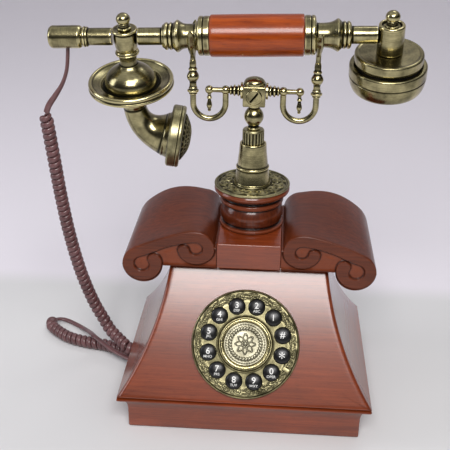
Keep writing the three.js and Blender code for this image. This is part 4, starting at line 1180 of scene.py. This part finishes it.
class PHONE_OT_receiver(bpy.types.Operator):
    """Adds the receiver's stem, finial, drum with its knurled groove, and cap."""

    bl_idname = "phone.receiver"
    bl_label = "Receiver"

    def execute(self, context):
        at = shifted(EAR_X)
        handle("ear_stem", revolve([(0, -12), (8.6, -12), (8.6, 6.2), (8.3, 7.1), (7.7, 7.5), (6.8, 7.5), (6.4, 7.1),
                                    (6.2, 6), (0, 5.9)], 60, 0.7).moved(at), ["receiver_stem"])
        handle("ear_finial", finial(EAR_X, 6.2), ["receiver_finial"])

        def knurl(a, h):
            zone = ease((h + 20.4) / 0.2) * ease((-18.9 - h) / 0.2)
            wave = np.cos(90 * a)
            return 0.22 * wave * zone, np.clip(0.5 - 0.6 * wave, -0.2, 1) * zone

        drum = [(0, -20.4), (21.6, -20.4), (21.6, -18.9), (22.5, -18.5), (22.6, -18), (22.6, -13.6), (22.3, -12.8),
                (21.5, -12.3), (20.6, -12.3), (19.9, -12.5), (0, -12.5)]
        handle("ear_drum", revolve(drum, 360, 0.45, 0.25, swell=knurl).moved(at), ["receiver_drum"])
        outer = curve([(23.6, -37.2), (24.7, -34.4), (25.3, -31), (25.55, -28.9)], 6)
        cap = [(0, -37.4), (6, -37.6), (12, -38.4), (17.5, -39.3), (20.6, -39.4), (22.6, -38.6), *outer,
               (25.3, -28.5), (25.3, -28.1), (25.6, -27.7), (25.6, -22), (25.3, -21.2), (24.6, -20.7), (22.6, -20.7),
               (22.4, -21), (22.4, -33), (0, -34)]

        def pits(a, r):
            pit = np.exp(-((r / 0.9) ** 2))
            for ring, count in ((4.2, 6), (8.4, 12)):
                b = (a % (TAU / count)) - TAU / count / 2
                pit = pit + np.exp(-(((r - ring) ** 2 + (b * ring) ** 2) / 0.9 ** 2))
            outside = (np.arange(r.shape[0])[:, None] < r.shape[0] * 0.36) * (r < 11.5)
            return 1.1 * pit * outside, np.clip(1.2 * pit, 0, 1) * outside

        handle("ear_cap", revolve(cap, 128, 0.6, 0.25, lift=pits).moved(at), ["receiver_cap"])
        return {"FINISHED"}


class PHONE_OT_insides(bpy.types.Operator):
    """Gives the frame's own hidden pieces their finishes: boards, capsules, switch, jack, nut, rod and plates."""

    bl_idname = "phone.insides"
    bl_label = "Inner pieces"

    def execute(self, context):
        m = finishes()
        wear = {
            "bottom_plate": "felt", "key_mat": "rubber", "keypad_board": "board", "main_board": "board",
            "ringer": "black", "hook_switch": "black", "line_jack": "black", "cord_grommet": "rubber",
            "clamp_nut": "steel", "plunger_rod": "steel", "microphone_capsule": "black", "receiver_capsule": "black",
        }
        for name, finish in wear.items():
            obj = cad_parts[name]
            obj.data.materials.clear()
            obj.data.materials.append(m[finish])
        return {"FINISHED"}


# ---- stage --------------------------------------------------------------------------------------
def area_light(name, place, target, size, power, colour):
    """A rectangular light that faces a target."""
    data = bpy.data.lights.new(name, "AREA")
    data.shape, data.energy, data.color = "RECTANGLE", power, linear(colour)[:3]
    data.size, data.size_y = size
    obj = bpy.data.objects.new(name, data)
    obj.location = place
    obj.rotation_euler = (Vector(target) - Vector(place)).to_track_quat("-Z", "Y").to_euler()
    bpy.context.scene.collection.objects.link(obj)


class PHONE_OT_stage(bpy.types.Operator):
    """Adds the camera, the pale floor that rises into a backdrop, the soft lights and the surroundings."""

    bl_idname = "phone.stage"
    bl_label = "Stage"

    def execute(self, context):
        s = context.scene.phone_stage
        e, a, roll = 25.7 * DEG, 3.81 * DEG, 0.58 * DEG
        back = Vector((math.sin(a) * math.cos(e), -math.cos(a) * math.cos(e), math.sin(e)))
        right = Vector((math.cos(a), math.sin(a), 0))
        up = back.cross(right)
        r2 = math.cos(roll) * right + math.sin(roll) * up
        u2 = math.cos(roll) * up - math.sin(roll) * right
        data = bpy.data.cameras.new("camera")
        data.lens, data.sensor_width, data.shift_x = s.lens, 36.0, 0.0021
        data.clip_start, data.clip_end = 0.02, 20
        cam = bpy.data.objects.new("camera", data)
        cam.matrix_world = Matrix([(r2[k], u2[k], back[k], p) for k, p in enumerate((0.01643, -0.53975, 0.38589))]
                                  + [(0, 0, 0, 1)])
        context.scene.collection.objects.link(cam)
        context.scene.camera = cam
        self.floor()
        context.scene.view_settings.view_transform = "Standard"
        for name, place, size, power, colour in (
            ("front_light", (0.02, -1.02, 1.09), (0.7, 0.5), s.front_power, "#fffcfb"),
            ("side_light", (-1.1, -0.1, 0.6), (0.4, 0.6), s.side_power, "#f4f6ff"),
            ("back_light", (0.5, 0.9, 1.8), (0.7, 0.5), s.side_power, "#ffffff"),
        ):
            area_light(name, place, (0, 0, 0.12), size, power, colour)
        sun = bpy.data.lights.new("soft_key", "SUN")
        sun.energy, sun.angle = s.key_strength, 16 * DEG
        key = bpy.data.objects.new("soft_key", sun)
        key.rotation_euler = Vector((0.45, -0.7, 1.0)).to_track_quat("Z", "Y").to_euler()
        context.scene.collection.objects.link(key)
        self.world(context)
        return {"FINISHED"}

    def floor(self):
        """A wide strip: flat, then a quarter circle up into a wall far behind."""
        y = [-4.0, -1.0, 0.0, 1.0, *(1.6 + 0.7 * np.sin(np.linspace(0, 90, 20) * DEG)), 2.3, 2.3]
        z = [-0.0004] * 4 + [*(-0.0004 + 0.7 * (1 - np.cos(np.linspace(0, 90, 20) * DEG))), 1.5, 3.2]
        x = np.linspace(-4, 4, 9)
        points = np.array([[(v, b, c) for v in x] for b, c in zip(y, z)])
        sheet = grid(points / MM, wrap=False)
        obj = finish_mesh("floor_sweep", [sheet], 80)
        m, t = new_material("pale_paper_sweep")
        n = node(t, "ShaderNodeTexNoise", {"Vector": grain_space(t, [180, 180, 180])}, Scale=1.0, Detail=2.0)
        place = node(t, "ShaderNodeSeparateXYZ", {"Vector": node(t, "ShaderNodeTexCoord").outputs["Object"]})
        far = node(t, "ShaderNodeMapRange", {"Value": place.outputs["Y"]}, From_Min=0.115, From_Max=0.15,
                   interpolation_type="SMOOTHSTEP")
        near = node(t, "ShaderNodeValToRGB", {"Fac": n.outputs["Fac"]}, [(0.2, "#d2d2d4"), (0.8, "#dcdcdd")])
        tone = node(t, "ShaderNodeMix", {0: far.outputs["Result"], 6: near.outputs["Color"], 7: "#eae6ee"},
                    data_type="RGBA")
        skin = node(t, "ShaderNodeBsdfPrincipled", {"Base Color": tone.outputs[2]}, Roughness=0.6)
        node(t, "ShaderNodeOutputMaterial", {"Surface": skin.outputs["BSDF"]})
        obj.data.materials.append(m)

    def world(self, context):
        """Pale surroundings: bright overhead, dimmer towards the horizon and below, as a room round a light tent."""
        w = bpy.data.worlds.new("soft_room")
        context.scene.world = w
        w.use_nodes = True
        t = w.node_tree
        t.nodes.clear()
        way = node(t, "ShaderNodeSeparateXYZ", {"Vector": node(t, "ShaderNodeTexCoord").outputs["Generated"]})
        tone = node(t, "ShaderNodeValToRGB", {"Fac": way.outputs["Z"]},
                    [(0.0, 0.1), (0.9, 0.9), (0.12, 0.03), (0.45, 0.05), (0.7, 0.6)])
        glow = node(t, "ShaderNodeBackground", {"Color": tone.outputs["Color"]}, Strength=0.7)
        node(t, "ShaderNodeOutputWorld", {"Surface": glow.outputs["Background"]})


# ---- add-on -------------------------------------------------------------------------------------
def colour_property(name, text, value):
    """A colour that the sidebar shows, given as hex."""
    parts = [int(value[i:i + 2], 16) / 255 for i in (1, 3, 5)]
    return bpy.props.FloatVectorProperty(name=name, description=text, default=parts, subtype="COLOR_GAMMA", size=3,
                                         min=0, max=1)


def length_property(name, text, value_m):
    """A length that the sidebar shows."""
    return bpy.props.FloatProperty(name=name, description=text, default=value_m, unit="LENGTH", min=0.0001)


class PhoneSizes(bpy.types.PropertyGroup):
    """Sizes of the cord that a user may change."""

    cord_width: length_property("Cord width", "Width of the flat cord", 0.0042)
    cord_thickness: length_property("Cord thickness", "Thickness of the flat cord", 0.0025)
    coil_diameter: length_property("Coil diameter", "Outer diameter of the curl", 0.0098)
    coil_pitch: length_property("Coil pitch", "Distance from turn to turn", 0.0045)


class PhoneFinish(bpy.types.PropertyGroup):
    """Colours of the wood and the brass."""

    wood_dark: colour_property("Wood, dark", "Darkest fibres of the mahogany", "#66250e")
    wood_mid: colour_property("Wood, middle", "Body colour of the mahogany", "#813416")
    wood_light: colour_property("Wood, light", "Lightest fibres of the mahogany", "#94431d")
    brass_mid: colour_property("Brass", "Antique brass between patina and wear", "#8f845a")
    brass_light: colour_property("Brass, worn", "Brass where the finish has worn", "#e2d6a2")


class PhoneStage(bpy.types.PropertyGroup):
    """Camera and lights."""

    lens: bpy.props.FloatProperty(name="Lens", description="Focal length in mm on a 36 mm sensor", default=66.44)
    key_strength: bpy.props.FloatProperty(name="Key light", description="Strength of the soft main light", default=0.4)
    front_power: bpy.props.FloatProperty(name="Front light", description="Power of the wide light above the camera",
                                         default=15, unit="POWER")
    side_power: bpy.props.FloatProperty(name="Side lights", description="Power of the left and back lights",
                                        default=3, unit="POWER")


OPERATORS = (PHONE_OT_stage, PHONE_OT_cord, PHONE_OT_cabinet, PHONE_OT_shoulders, PHONE_OT_collar, PHONE_OT_column,
             PHONE_OT_cradle, PHONE_OT_dial, PHONE_OT_grip, PHONE_OT_transmitter, PHONE_OT_receiver,
             PHONE_OT_insides)
GROUPS = (("phone_sizes", PhoneSizes), ("phone_finish", PhoneFinish), ("phone_stage", PhoneStage))


class PHONE_PT_panel(bpy.types.Panel):
    """Lists the sizes, the colours and one button for each group of pieces."""

    bl_label = "Cradle telephone"
    bl_space_type = "VIEW_3D"
    bl_region_type = "UI"
    bl_category = "Telephone"

    def draw(self, context):
        for attribute, group in GROUPS:
            box = self.layout.box()
            for name in group.__annotations__:
                box.prop(getattr(context.scene, attribute), name)
        for operator in OPERATORS:
            self.layout.operator(operator.bl_idname)


def register():
    for attribute, group in GROUPS:
        bpy.utils.register_class(group)
        setattr(bpy.types.Scene, attribute, bpy.props.PointerProperty(type=group))
    for c in OPERATORS + (PHONE_PT_panel,):
        bpy.utils.register_class(c)


def unregister():
    for c in (PHONE_PT_panel,) + OPERATORS[::-1]:
        bpy.utils.unregister_class(c)
    for attribute, group in GROUPS[::-1]:
        delattr(bpy.types.Scene, attribute)
        bpy.utils.unregister_class(group)


def main():
    register()
    for operator in OPERATORS:
        area, name = operator.bl_idname.split(".")
        getattr(getattr(bpy.ops, area), name)()


if __name__ == "__main__":
    main()
